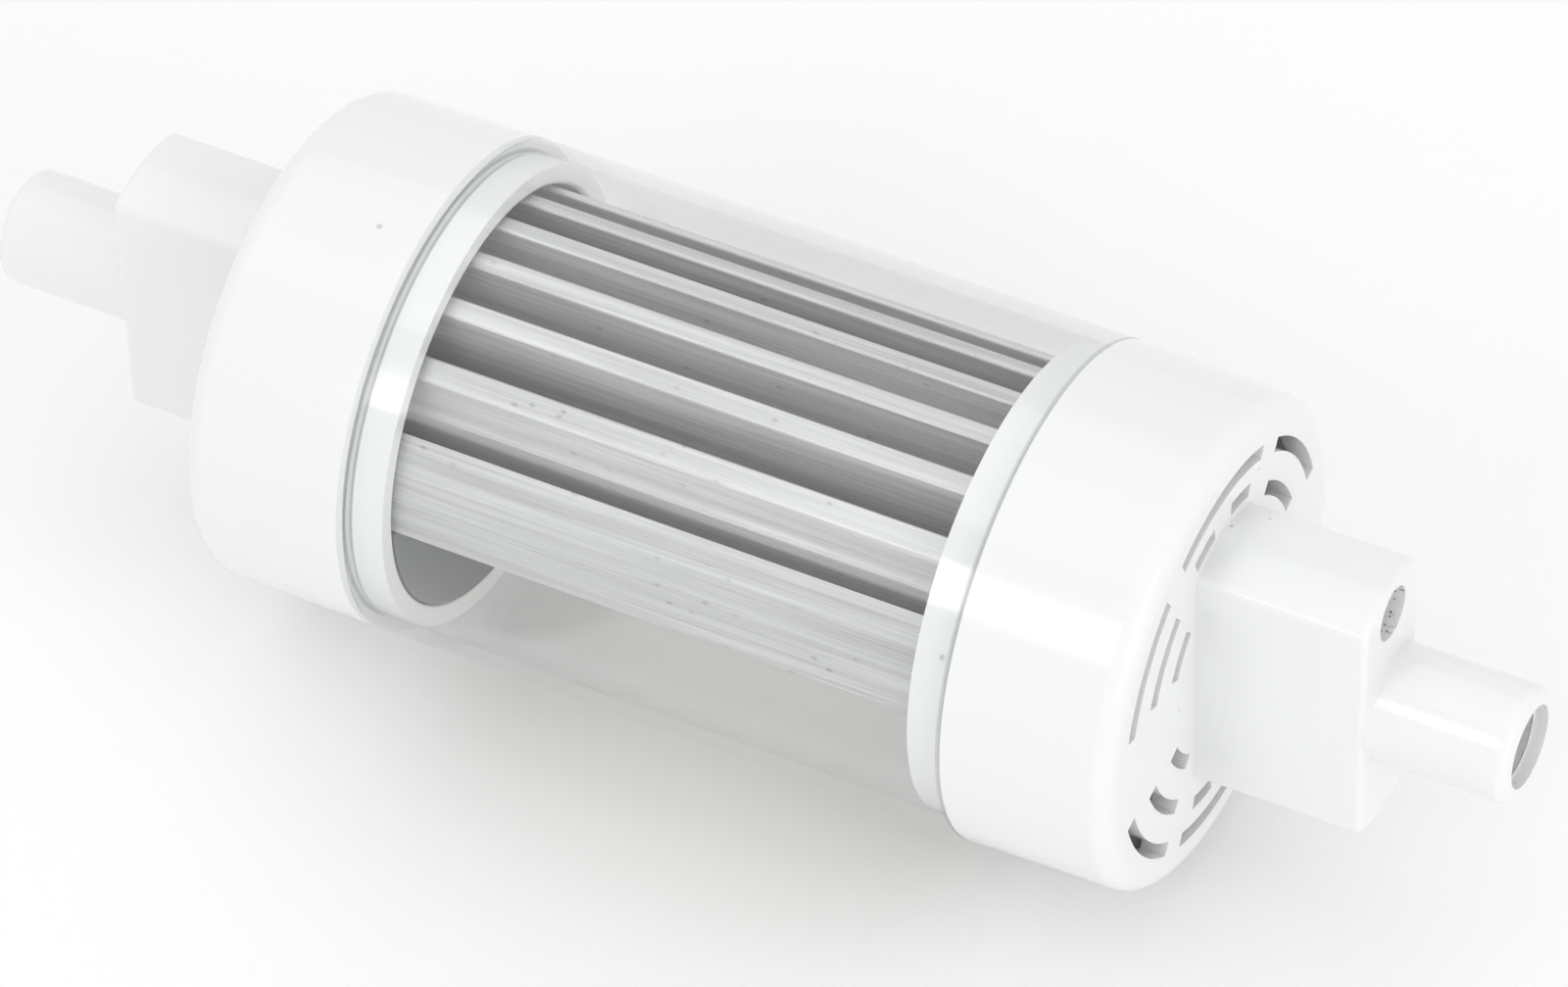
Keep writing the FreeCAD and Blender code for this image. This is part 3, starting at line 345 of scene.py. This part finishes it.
def cap_plastic(settings):
    """Near-white glossy moulding with specks, thin lines at its joint and bits in its screw tunnel."""
    material, tree, shader = new_material("cap_plastic")
    place = tree.place()
    grime = tree.add("ShaderNodeTexVoronoi")
    tree.link(place, grime.inputs["Vector"])
    grime.inputs["Scale"].default_value = 3000.0
    x, y, z = tree.axes(place)
    from_screw = from_axis(tree, y, z, SCREW_RISE)
    in_tunnel = tree.between(from_screw, TUNNEL_RADIUS, TUNNEL_RADIUS + 0.2 * MM, 1.0, 0.0)
    near_mouth = tree.between(tree.math("ABSOLUTE", x), TUNNEL_START, TUNNEL_START + 1.0 * MM)
    spots = tree.between(grime.outputs["Distance"], 0.25, 0.45, 1.0, 0.0)
    bits = tree.math("MULTIPLY", spots, tree.between(tree.noise(place, 700.0, 2.0), 0.48, 0.56))
    tunnel_dirt = tree.math("MULTIPLY", tree.math("MULTIPLY", bits, in_tunnel), near_mouth)
    # Thin dark lines at both joints, fainter at the left cap than at the right, with the specks and the
    # bits in the screw tunnel
    joint_tone = tree.between(x, -1.0 * MM, 1.0 * MM, 0.4, 0.9)
    joint = tree.math("MULTIPLY", joint_mask(tree, x, from_axis(tree, y, z, 0.0)), joint_tone)
    specks = tree.math("MULTIPLY", speck_mask(tree, place, CAP_SPECKS), 0.35)
    tunnel_tone = tree.math("MULTIPLY", tunnel_dirt, 0.8)
    dark_marks = tree.math("MAXIMUM", tree.math("MAXIMUM", tunnel_tone, joint), specks)
    use_group(
        tree, shared("Moulded surface", surface_wear_group), shader,
        Colour=tree.mix(dark_marks, rgba(settings.cap_colour), (0.13, 0.13, 0.13, 1.0)), Tone=0.012,
        Roughness=settings.cap_roughness, Roughness_spread=0.04, Grain=700.0, Bump=0.02,
    )
    shader.inputs["IOR"].default_value = 1.47
    shader.inputs["Subsurface Weight"].default_value = 0.12
    shader.inputs["Subsurface Radius"].default_value = (1.0, 1.0, 0.95)
    shader.inputs["Subsurface Scale"].default_value = 1.2 * MM
    return material


def clear_cover():
    """Thin clear tube with darker grey ends, tinted more where it is seen at a slant.

    Its wall bends no line of sight, and its gloss is a coat.
    """
    material, tree, shader = new_material("clear_cover")
    place = tree.place()
    x = tree.axes(place)["X"]
    low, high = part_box("clear_tube")
    # Narrow bands at both cut ends, tinted darker grey than the wall
    left_end = tree.between(x, low.x + 0.05 * MM, low.x + 0.3 * MM, 1.0, 0.0)
    right_end = tree.between(x, high.x - 0.15 * MM, high.x - 0.05 * MM)
    ends = tree.math("MAXIMUM", left_end, right_end)
    smear = tree.noise(tree.stretched(place, (0.4, 1.0, 1.0)), 70.0, 4.0)
    clean_wall = tree.mix(smear, (0.965, 0.972, 0.972, 1.0), (0.975, 0.98, 0.98, 1.0))
    slant = tree.add("ShaderNodeLayerWeight")
    slant.inputs["Blend"].default_value = 0.5
    slanted = tree.between(slant.outputs["Facing"], 0.15, 0.8)
    wall = tree.mix(slanted, clean_wall, (0.87, 0.876, 0.876, 1.0))
    tree.link(tree.mix(ends, wall, (0.62, 0.64, 0.64, 1.0)), shader.inputs["Base Color"])
    tree.link(tree.between(smear, 0.45, 0.8, 0.02, 0.09), shader.inputs["Roughness"])
    shader.inputs["IOR"].default_value = 1.0
    shader.inputs["Transmission Weight"].default_value = 1.0
    shader.inputs["Coat Weight"].default_value = 1.0
    shader.inputs["Coat Roughness"].default_value = 0.1
    shader.inputs["Coat IOR"].default_value = 1.49
    clear = tree.add("ShaderNodeBsdfTransparent")
    clear.inputs["Color"].default_value = (0.985, 0.987, 0.987, 1.0)
    rays = tree.add("ShaderNodeLightPath")
    passing = tree.math("MAXIMUM", rays.outputs["Is Shadow Ray"], rays.outputs["Is Diffuse Ray"])
    blend = tree.add("ShaderNodeMixShader")
    out = next(node for node in material.node_tree.nodes if node.type == "OUTPUT_MATERIAL")
    tree.link(passing, blend.inputs[0])
    tree.link(shader.outputs[0], blend.inputs[1])
    tree.link(clear.outputs[0], blend.inputs[2])
    tree.link(blend.outputs[0], out.inputs["Surface"])
    return material


def contact_plating():
    """Nickel with fine turning rings about the contact axis and a faint uneven film."""
    material, tree, shader = new_material("contact_plating")
    place = tree.place()
    parts = tree.axes(place)
    radius = from_axis(tree, parts["Y"], parts["Z"], CONTACT_RISE)
    rings = tree.math("SINE", tree.math("MULTIPLY", radius, 26000.0))
    bump = tree.add("ShaderNodeBump")
    bump.inputs["Distance"].default_value = 0.01 * MM
    bump.inputs["Strength"].default_value = 0.5
    tree.link(rings, bump.inputs["Height"])
    tree.link(bump.outputs["Normal"], shader.inputs["Normal"])
    film = tree.noise(place, 900.0, 3.0, 0.6)
    tree.link(tree.between(film, 0.3, 0.8, 0.1, 0.26), shader.inputs["Roughness"])
    tree.link(tree.mix(film, (0.46, 0.46, 0.45, 1.0), (0.3, 0.3, 0.29, 1.0)), shader.inputs["Base Color"])
    shader.inputs["Metallic"].default_value = 1.0
    return material


def circuit_board(name, mask, trace):
    """Solder mask with faint tracks under it."""
    material, tree, shader = new_material(name)
    place = tree.place()
    cells = tree.add("ShaderNodeTexVoronoi", feature="DISTANCE_TO_EDGE", distance="EUCLIDEAN")
    tree.link(tree.stretched(place, (1.0, 1.0, 0.6)), cells.inputs["Vector"])
    cells.inputs["Scale"].default_value = 330.0
    track = tree.between(cells.outputs["Distance"], 0.05, 0.09)
    use_group(
        tree, shared("Moulded surface", surface_wear_group), shader,
        Colour=tree.mix(track, rgba(mask), rgba(trace)), Tone=0.06, Roughness=0.4, Grain=1500.0, Bump=0.1,
    )
    shader.inputs["Coat Weight"].default_value = 0.3
    return material


def phosphor():
    """Yellow silicone with a grain of phosphor."""
    material, tree, shader = new_material("phosphor")
    place = tree.place()
    grain = tree.noise(place, 5200.0, 2.0)
    yellow = tree.mix(grain, (0.88, 0.74, 0.26, 1.0), (0.97, 0.88, 0.42, 1.0))
    tree.link(yellow, shader.inputs["Base Color"])
    tree.link(tree.between(grain, 0.3, 0.7, 0.2, 0.38), shader.inputs["Roughness"])
    shader.inputs["Subsurface Weight"].default_value = 0.25
    shader.inputs["Subsurface Scale"].default_value = 0.4 * MM
    return material


def capacitor_sleeve():
    """Dark shrink sleeve with a pale polarity stripe, and a bare can top."""
    material, tree, shader = new_material("capacitor_sleeve")
    place = tree.place()
    x, y, z = tree.axes(place)
    centre = middle("smoothing_capacitor")
    can_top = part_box("smoothing_capacitor")[0].x
    across = tree.math("SUBTRACT", y, centre.y)
    up = tree.math("SUBTRACT", z, centre.z)
    radius = from_axis(tree, across, z, centre.z)
    end_face = tree.between(x, can_top + 0.05 * MM, can_top + 0.25 * MM, 1.0, 0.0)
    bare = tree.math("MULTIPLY", end_face, tree.between(radius, 2.7 * MM, 2.8 * MM, 1.0, 0.0))
    stripe = tree.between(tree.math("ADD", across, tree.math("MULTIPLY", up, 0.2)), 2.3 * MM, 2.4 * MM)
    sleeve = tree.mix(stripe, (0.02, 0.022, 0.03, 1.0), (0.55, 0.56, 0.55, 1.0))
    use_group(
        tree, shared("Moulded surface", surface_wear_group), shader,
        Colour=tree.mix(bare, sleeve, (0.72, 0.72, 0.72, 1.0)), Tone=0.05, Roughness=0.28,
        Grain=1200.0, Bump=0.06,
    )
    tree.link(bare, shader.inputs["Metallic"])
    return material


# Which finish each slot gets

def all_finishes(settings):
    """Materials by the name of the slot they belong to."""
    return {
        "cap_plastic": cap_plastic(settings),
        "clear_cover": clear_cover(),
        "sink_aluminium": metal(
            "sink_aluminium", settings.metal_colour, settings.metal_roughness, 5000.0, 0.35, 0.75, 0.5,
        ),
        "pad_silicone": moulded("pad_silicone", (0.3, 0.34, 0.4), 0.6, 0.08, 0.1, 1800.0, 0.3),
        "white_board": circuit_board("white_board", (0.82, 0.82, 0.8), (0.76, 0.76, 0.74)),
        "led_body": moulded("led_body", (0.82, 0.82, 0.8), 0.45, 0.04, 0.05, 2400.0, 0.1),
        "phosphor": phosphor(),
        "screw_steel": metal("screw_steel", (0.62, 0.62, 0.6), 0.28),
        "contact_plating": contact_plating(),
        "divider_plastic": moulded(
            "divider_plastic", settings.divider_colour, 0.5, 0.05, 0.08, 1500.0, 0.25,
        ),
        "green_board": circuit_board("green_board", (0.02, 0.13, 0.05), (0.03, 0.19, 0.08)),
        "capacitor_sleeve": capacitor_sleeve(),
        "ferrite": moulded("ferrite", (0.05, 0.05, 0.052), 0.6, 0.12, 0.1, 3000.0, 0.4),
        "copper_wire": metal("copper_wire", (0.7, 0.28, 0.11), 0.24),
        "chip_plastic": moulded("chip_plastic", (0.02, 0.02, 0.022), 0.5, 0.1, 0.1, 3600.0, 0.35),
        "resistor_coat": moulded("resistor_coat", (0.3, 0.46, 0.38), 0.5, 0.08, 0.08, 2200.0, 0.25),
        "lead_insulation": moulded("lead_insulation", (0.78, 0.76, 0.7), 0.55, 0.04, 0.08, 1700.0, 0.15),
        "tinned_wire": metal("tinned_wire", (0.7, 0.7, 0.68), 0.22),
    }


# Geometry helpers

def object_from(name, vertices, faces, smooth=True):
    """Mesh object made of listed vertices and faces."""
    mesh = bpy.data.meshes.new(name)
    mesh.from_pydata(vertices, [], faces)
    mesh.validate()
    mesh.polygons.foreach_set("use_smooth", [smooth] * len(mesh.polygons))
    item = bpy.data.objects.new(name, mesh)
    bpy.context.scene.collection.objects.link(item)
    return item


def grown(name, group, values, points=((0.0, 0.0, 0.0),)):
    """Plain mesh object that a geometry node group makes on points, with its inputs set by name."""
    holder = object_from(name + "_seed", points, [])
    modifier = holder.modifiers.new("grow", "NODES")
    modifier.node_group = group
    for item in group.interface.items_tree:
        if item.item_type == "SOCKET" and item.in_out == "INPUT" and item.name in values:
            modifier[item.identifier] = values[item.name]
    depsgraph = bpy.context.evaluated_depsgraph_get()
    mesh = bpy.data.meshes.new_from_object(holder.evaluated_get(depsgraph))
    mesh.name = name
    bpy.data.objects.remove(holder)
    result = bpy.data.objects.new(name, mesh)
    bpy.context.scene.collection.objects.link(result)
    return result


def geometry_group(name, inputs):
    """Empty geometry node group with named inputs and one geometry output."""
    group = bpy.data.node_groups.new(name, "GeometryNodeTree")
    group.interface.new_socket("Geometry", in_out="INPUT", socket_type="NodeSocketGeometry")
    for socket_name, kind, default in inputs:
        socket = group.interface.new_socket(socket_name, in_out="INPUT", socket_type=kind)
        if default is not None:
            socket.default_value = default
    group.interface.new_socket("Geometry", in_out="OUTPUT", socket_type="NodeSocketGeometry")
    tree = Tree(group)
    return group, tree, tree.add("NodeGroupInput"), tree.add("NodeGroupOutput")


def finish_group(tree, geometry, start, end):
    """End a group: realise the instances, smooth them and give them the material input."""
    real = tree.add("GeometryNodeRealizeInstances")
    smooth = tree.add("GeometryNodeSetShadeSmooth")
    paint = tree.add("GeometryNodeSetMaterial")
    tree.link(geometry, real.inputs[0])
    tree.link(real.outputs[0], smooth.inputs[0])
    tree.link(smooth.outputs[0], paint.inputs[0])
    tree.link(start.outputs["Material"], paint.inputs["Material"])
    tree.link(paint.outputs[0], end.inputs[0])


def winding_group():
    """Rings of round wire stacked along Z."""
    group, tree, start, end = geometry_group("Winding", [
        ("Turns", "NodeSocketInt", 12),
        ("Wire radius", "NodeSocketFloat", 0.00016),
        ("Ring radius", "NodeSocketFloat", 0.0025),
        ("Material", "NodeSocketMaterial", None),
    ])
    line = tree.add("GeometryNodeMeshLine", mode="OFFSET")
    tree.link(start.outputs["Turns"], line.inputs["Count"])
    pitch = tree.math("MULTIPLY", start.outputs["Wire radius"], 2.02)
    step = tree.add("ShaderNodeCombineXYZ")
    tree.link(pitch, step.inputs["Z"])
    tree.link(step.outputs[0], line.inputs["Offset"])
    ring = tree.add("GeometryNodeCurvePrimitiveCircle")
    ring.inputs["Resolution"].default_value = 56
    tree.link(start.outputs["Ring radius"], ring.inputs["Radius"])
    section = tree.add("GeometryNodeCurvePrimitiveCircle")
    section.inputs["Resolution"].default_value = 10
    tree.link(start.outputs["Wire radius"], section.inputs["Radius"])
    wire = tree.add("GeometryNodeCurveToMesh")
    tree.link(ring.outputs["Curve"], wire.inputs["Curve"])
    tree.link(section.outputs["Curve"], wire.inputs["Profile Curve"])
    copies = tree.add("GeometryNodeInstanceOnPoints")
    tree.link(line.outputs["Mesh"], copies.inputs["Points"])
    tree.link(wire.outputs["Mesh"], copies.inputs["Instance"])
    finish_group(tree, copies.outputs[0], start, end)
    return group


def mound_group():
    """Solder mounds on the points of a mesh: low cones with a small flat crown."""
    group, tree, start, end = geometry_group("Solder mounds", [
        ("Base radius", "NodeSocketFloat", 0.0008),
        ("Height", "NodeSocketFloat", 0.0006),
        ("Turn", "NodeSocketVector", (0.0, 0.0, 0.0)),
        ("Seed", "NodeSocketInt", 3),
        ("Material", "NodeSocketMaterial", None),
    ])
    cone = tree.add("GeometryNodeMeshCone", fill_type="NGON")
    cone.inputs["Vertices"].default_value = 20
    cone.inputs["Side Segments"].default_value = 4
    tree.link(start.outputs["Base radius"], cone.inputs["Radius Bottom"])
    tree.link(tree.math("MULTIPLY", start.outputs["Base radius"], 0.42), cone.inputs["Radius Top"])
    tree.link(start.outputs["Height"], cone.inputs["Depth"])
    scatter = tree.add("FunctionNodeRandomValue", data_type="FLOAT")
    scatter.inputs["Min"].default_value = 0.92
    scatter.inputs["Max"].default_value = 1.08
    tree.link(start.outputs["Seed"], scatter.inputs["Seed"])
    copies = tree.add("GeometryNodeInstanceOnPoints")
    tree.link(start.outputs["Geometry"], copies.inputs["Points"])
    tree.link(cone.outputs["Mesh"], copies.inputs["Instance"])
    turn = tree.add("FunctionNodeEulerToRotation")
    tree.link(start.outputs["Turn"], turn.inputs[0])
    tree.link(turn.outputs[0], copies.inputs["Rotation"])
    tree.link(scatter.outputs["Value"], copies.inputs["Scale"])
    finish_group(tree, copies.outputs[0], start, end)
    return group


def middle(node):
    """Centre of a CAD node's box."""
    low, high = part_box(node)
    return (low + high) / 2


# Property groups

class BulbFinish(bpy.types.PropertyGroup):
    """Finish of the visible pieces."""

    cap_colour: FloatVectorProperty(
        name="Cap colour", description="Colour of the end caps", subtype="COLOR",
        size=3, min=0.0, max=1.0, default=(0.86, 0.868, 0.866),
    )
    cap_roughness: FloatProperty(
        name="Cap roughness", description="How matt the end caps are", default=0.1, min=0.0, max=1.0,
    )
    metal_colour: FloatVectorProperty(
        name="Heat sink colour", description="Colour of the heat sink", subtype="COLOR",
        size=3, min=0.0, max=1.0, default=(0.575, 0.578, 0.577),
    )
    metal_roughness: FloatProperty(
        name="Heat sink roughness", description="How matt the heat sink is", default=0.5, min=0.0, max=1.0,
    )
    divider_colour: FloatVectorProperty(
        name="Divider colour", description="Colour of the half-moon dividers", subtype="COLOR",
        size=3, min=0.0, max=1.0, default=(0.19, 0.2, 0.2),
    )


class BulbWinding(bpy.types.PropertyGroup):
    """Wire of the inductor."""

    turns: IntProperty(name="Turns", description="Turns of wire along the core", default=14, min=2, max=60)
    inset: FloatProperty(
        name="Inset", description="How far the wire stays inside the flanges", subtype="DISTANCE",
        unit="LENGTH", default=0.00025, min=0.0,
    )


class BulbStudio(bpy.types.PropertyGroup):
    """Lights and surround."""

    front_power: FloatProperty(
        name="Front softbox", description="Power of the front softbox", default=0.65, min=0.0,
    )
    top_power: FloatProperty(
        name="Top softbox", description="Power of the softbox above", default=1.65, min=0.0,
    )
    side_power: FloatProperty(
        name="Side softbox", description="Power of the softbox at the right", default=1.2, min=0.0,
    )
    world_strength: FloatProperty(
        name="Surround", description="Strength of the surround on matt surfaces", default=0.81, min=0.0,
    )


# Operators

class OBJECT_OT_bulb_finishes(bpy.types.Operator):
    """Give every CAD node the finish of its slot"""

    bl_idname = "object.bulb_finishes"
    bl_label = "Apply finishes"

    def execute(self, context):
        finishes = all_finishes(context.scene.bulb_finish)
        for entry in frame["record"]["subparts"]:
            node = frame["nodes"][entry["node"]]
            material = finishes.get(entry["material_slot"])
            if material is None:
                raise RuntimeError(f"no finish for slot {entry['material_slot']}")
            node.data.materials.clear()
            node.data.materials.append(material)
        return {"FINISHED"}


class OBJECT_OT_bulb_winding(bpy.types.Operator):
    """Show the inductor's winding as turns of wire"""

    bl_idname = "object.bulb_winding"
    bl_label = "Add winding"

    def execute(self, context):
        settings = context.scene.bulb_winding
        low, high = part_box("inductor_winding")
        centre = (low + high) / 2
        outer = (high.z - low.z) / 2
        length = high.x - low.x
        wire = length / settings.turns / 2 / 1.02
        ring = outer - wire - settings.inset
        coil = grown("inductor_turns", winding_group(), {
            "Turns": settings.turns, "Wire radius": wire, "Ring radius": ring,
            "Material": bpy.data.materials["copper_wire"],
        })
        coil.data.transform(Matrix.Rotation(math.radians(90), 4, "Y"))
        coil.data.transform(Matrix.Translation(Vector((low.x + wire * 1.01, centre.y, centre.z))))
        if not coil.data.polygons:
            raise RuntimeError("the winding has no faces")
        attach(coil, "root")
        return {"FINISHED"}


class OBJECT_OT_bulb_solder(bpy.types.Operator):
    """Add the solder joints of the driver board and the light board"""

    bl_idname = "object.bulb_solder"
    bl_label = "Add solder"

    def execute(self, context):
        tin = bpy.data.materials["tinned_wire"]
        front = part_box("driver_board")[1].x
        points = []
        for node, reach in DRIVER_JOINTS:
            centre = middle(node)
            points += [(front, centre.y, centre.z + side * reach * MM) for side in (-1, 1)]
        group = mound_group()
        joints = grown("driver_solder_joints", group, {
            "Base radius": 0.45 * MM, "Height": 0.5 * MM, "Turn": (0.0, math.radians(90), 0.0),
            "Seed": 3, "Material": tin,
        }, [(x + 0.25 * MM, y, z) for x, y, z in points])
        ends = []
        for node in ("led_supply_lead", "led_return_lead"):
            low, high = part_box(node)
            ends.append((high.x, (low.y + high.y) / 2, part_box("led_board")[0].z))
        pads = grown("board_solder_joints", group, {
            "Base radius": 0.95 * MM, "Height": 0.6 * MM, "Turn": (math.radians(180), 0.0, 0.0),
            "Seed": 5, "Material": tin,
        }, [(x - 0.4 * MM, y, z - 0.3 * MM) for x, y, z in ends])
        for item in (joints, pads):
            if not item.data.polygons:
                raise RuntimeError(f"{item.name} has no faces")
            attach(item, "root")
        return {"FINISHED"}


class OBJECT_OT_bulb_studio(bpy.types.Operator):
    """Set up the floor, the lights and the camera of the photograph"""

    bl_idname = "object.bulb_studio"
    bl_label = "Set up studio"

    def execute(self, context):
        scene = context.scene
        settings = scene.bulb_studio
        pale_floor()
        white_world(scene, settings)
        for side, place, size in SOFTBOXES:
            softbox(f"{side}_softbox", place, size, getattr(settings, f"{side}_power"))
        camera_data = bpy.data.cameras.new("photo_camera")
        camera_data.sensor_width = 36.0
        camera_data.lens = CAMERA_LENS
        camera_data.clip_start = 0.05
        camera_data.clip_end = 20.0
        camera = bpy.data.objects.new("photo_camera", camera_data)
        camera.location = CAMERA_PLACE
        camera.rotation_euler = CAMERA_TURN
        scene.collection.objects.link(camera)
        scene.camera = camera
        scene.view_settings.view_transform = "Standard"
        return {"FINISHED"}


def pale_floor():
    """Plain pale floor that keeps the bulb's shadow and is clear from below."""
    corners = ((-1, -1), (1, -1), (1, 1), (-1, 1))
    floor = object_from("studio_floor", [
        (x * FLOOR_HALF, y * FLOOR_HALF, FLOOR_LEVEL) for x, y in corners
    ], [(0, 1, 2, 3)], smooth=False)
    material, tree, shader = new_material("studio_white")
    tone = tree.noise(tree.place(), 2.0, 2.0)
    pale = tree.mix(tone, (0.965, 0.965, 0.965, 1.0), (0.975, 0.975, 0.975, 1.0))
    tree.link(pale, shader.inputs["Base Color"])
    shader.inputs["Roughness"].default_value = 0.9
    out = next(node for node in material.node_tree.nodes if node.type == "OUTPUT_MATERIAL")
    from_below = tree.add("ShaderNodeMixShader")
    tree.link(tree.add("ShaderNodeNewGeometry").outputs["Backfacing"], from_below.inputs[0])
    tree.link(shader.outputs[0], from_below.inputs[1])
    tree.link(tree.add("ShaderNodeBsdfTransparent").outputs[0], from_below.inputs[2])
    tree.link(from_below.outputs[0], out.inputs["Surface"])
    floor.data.materials.append(material)


def white_world(scene, settings):
    """White to the camera and in shiny and clear surfaces, and an even surround for matt ones."""
    world = bpy.data.worlds.new("studio_world")
    world.use_nodes = True
    tree = Tree(world.node_tree)
    plain = next(node for node in world.node_tree.nodes if node.type == "BACKGROUND")
    plain.inputs["Color"].default_value = (1.0, 1.0, 1.0, 1.0)
    plain.inputs["Strength"].default_value = settings.world_strength
    white = tree.add("ShaderNodeBackground")
    white.inputs["Color"].default_value = (1.0, 1.0, 1.0, 1.0)
    white.inputs["Strength"].default_value = 1.0
    rays = tree.add("ShaderNodeLightPath")
    shiny = tree.math("MAXIMUM", rays.outputs["Is Glossy Ray"], rays.outputs["Is Transmission Ray"])
    seen = tree.math("MAXIMUM", rays.outputs["Is Camera Ray"], shiny)
    blend = tree.add("ShaderNodeMixShader")
    out = next(node for node in world.node_tree.nodes if node.type == "OUTPUT_WORLD")
    tree.link(seen, blend.inputs[0])
    tree.link(plain.outputs[0], blend.inputs[1])
    tree.link(white.outputs[0], blend.inputs[2])
    tree.link(blend.outputs[0], out.inputs["Surface"])
    scene.world = world


def softbox(name, place, size, power):
    """Area light at a place, turned to the middle of the bulb."""
    light = bpy.data.lights.new(name, "AREA")
    light.shape = "RECTANGLE"
    light.size, light.size_y = size
    light.energy = power
    item = bpy.data.objects.new(name, light)
    item.location = place
    item.rotation_euler = (-Vector(place)).to_track_quat("-Z", "Y").to_euler()
    bpy.context.scene.collection.objects.link(item)


class VIEW3D_PT_bulb(bpy.types.Panel):
    """Sidebar panel with the bulb's settings and steps"""

    bl_label = "LED bulb"
    bl_space_type = "VIEW_3D"
    bl_region_type = "UI"
    bl_category = "LED bulb"

    def draw(self, context):
        layout = self.layout
        for group in (context.scene.bulb_finish, context.scene.bulb_winding, context.scene.bulb_studio):
            column = layout.column(align=True)
            for name in group.bl_rna.properties.keys():
                if name not in {"rna_type", "name"}:
                    column.prop(group, name)
        for operator in OPERATORS:
            layout.operator(operator.bl_idname)


GROUPS = (("bulb_finish", BulbFinish), ("bulb_winding", BulbWinding), ("bulb_studio", BulbStudio))
OPERATORS = (OBJECT_OT_bulb_finishes, OBJECT_OT_bulb_winding, OBJECT_OT_bulb_solder, OBJECT_OT_bulb_studio)


def register():
    for name, group in GROUPS:
        bpy.utils.register_class(group)
        setattr(bpy.types.Scene, name, PointerProperty(type=group))
    for item in (*OPERATORS, VIEW3D_PT_bulb):
        bpy.utils.register_class(item)


def unregister():
    for item in reversed((*OPERATORS, VIEW3D_PT_bulb)):
        bpy.utils.unregister_class(item)
    for name, group in reversed(GROUPS):
        delattr(bpy.types.Scene, name)
        bpy.utils.unregister_class(group)


def main():
    register()
    bpy.ops.object.bulb_finishes()
    bpy.ops.object.bulb_winding()
    bpy.ops.object.bulb_solder()
    bpy.ops.object.bulb_studio()


if __name__ == "__main__":
    main()
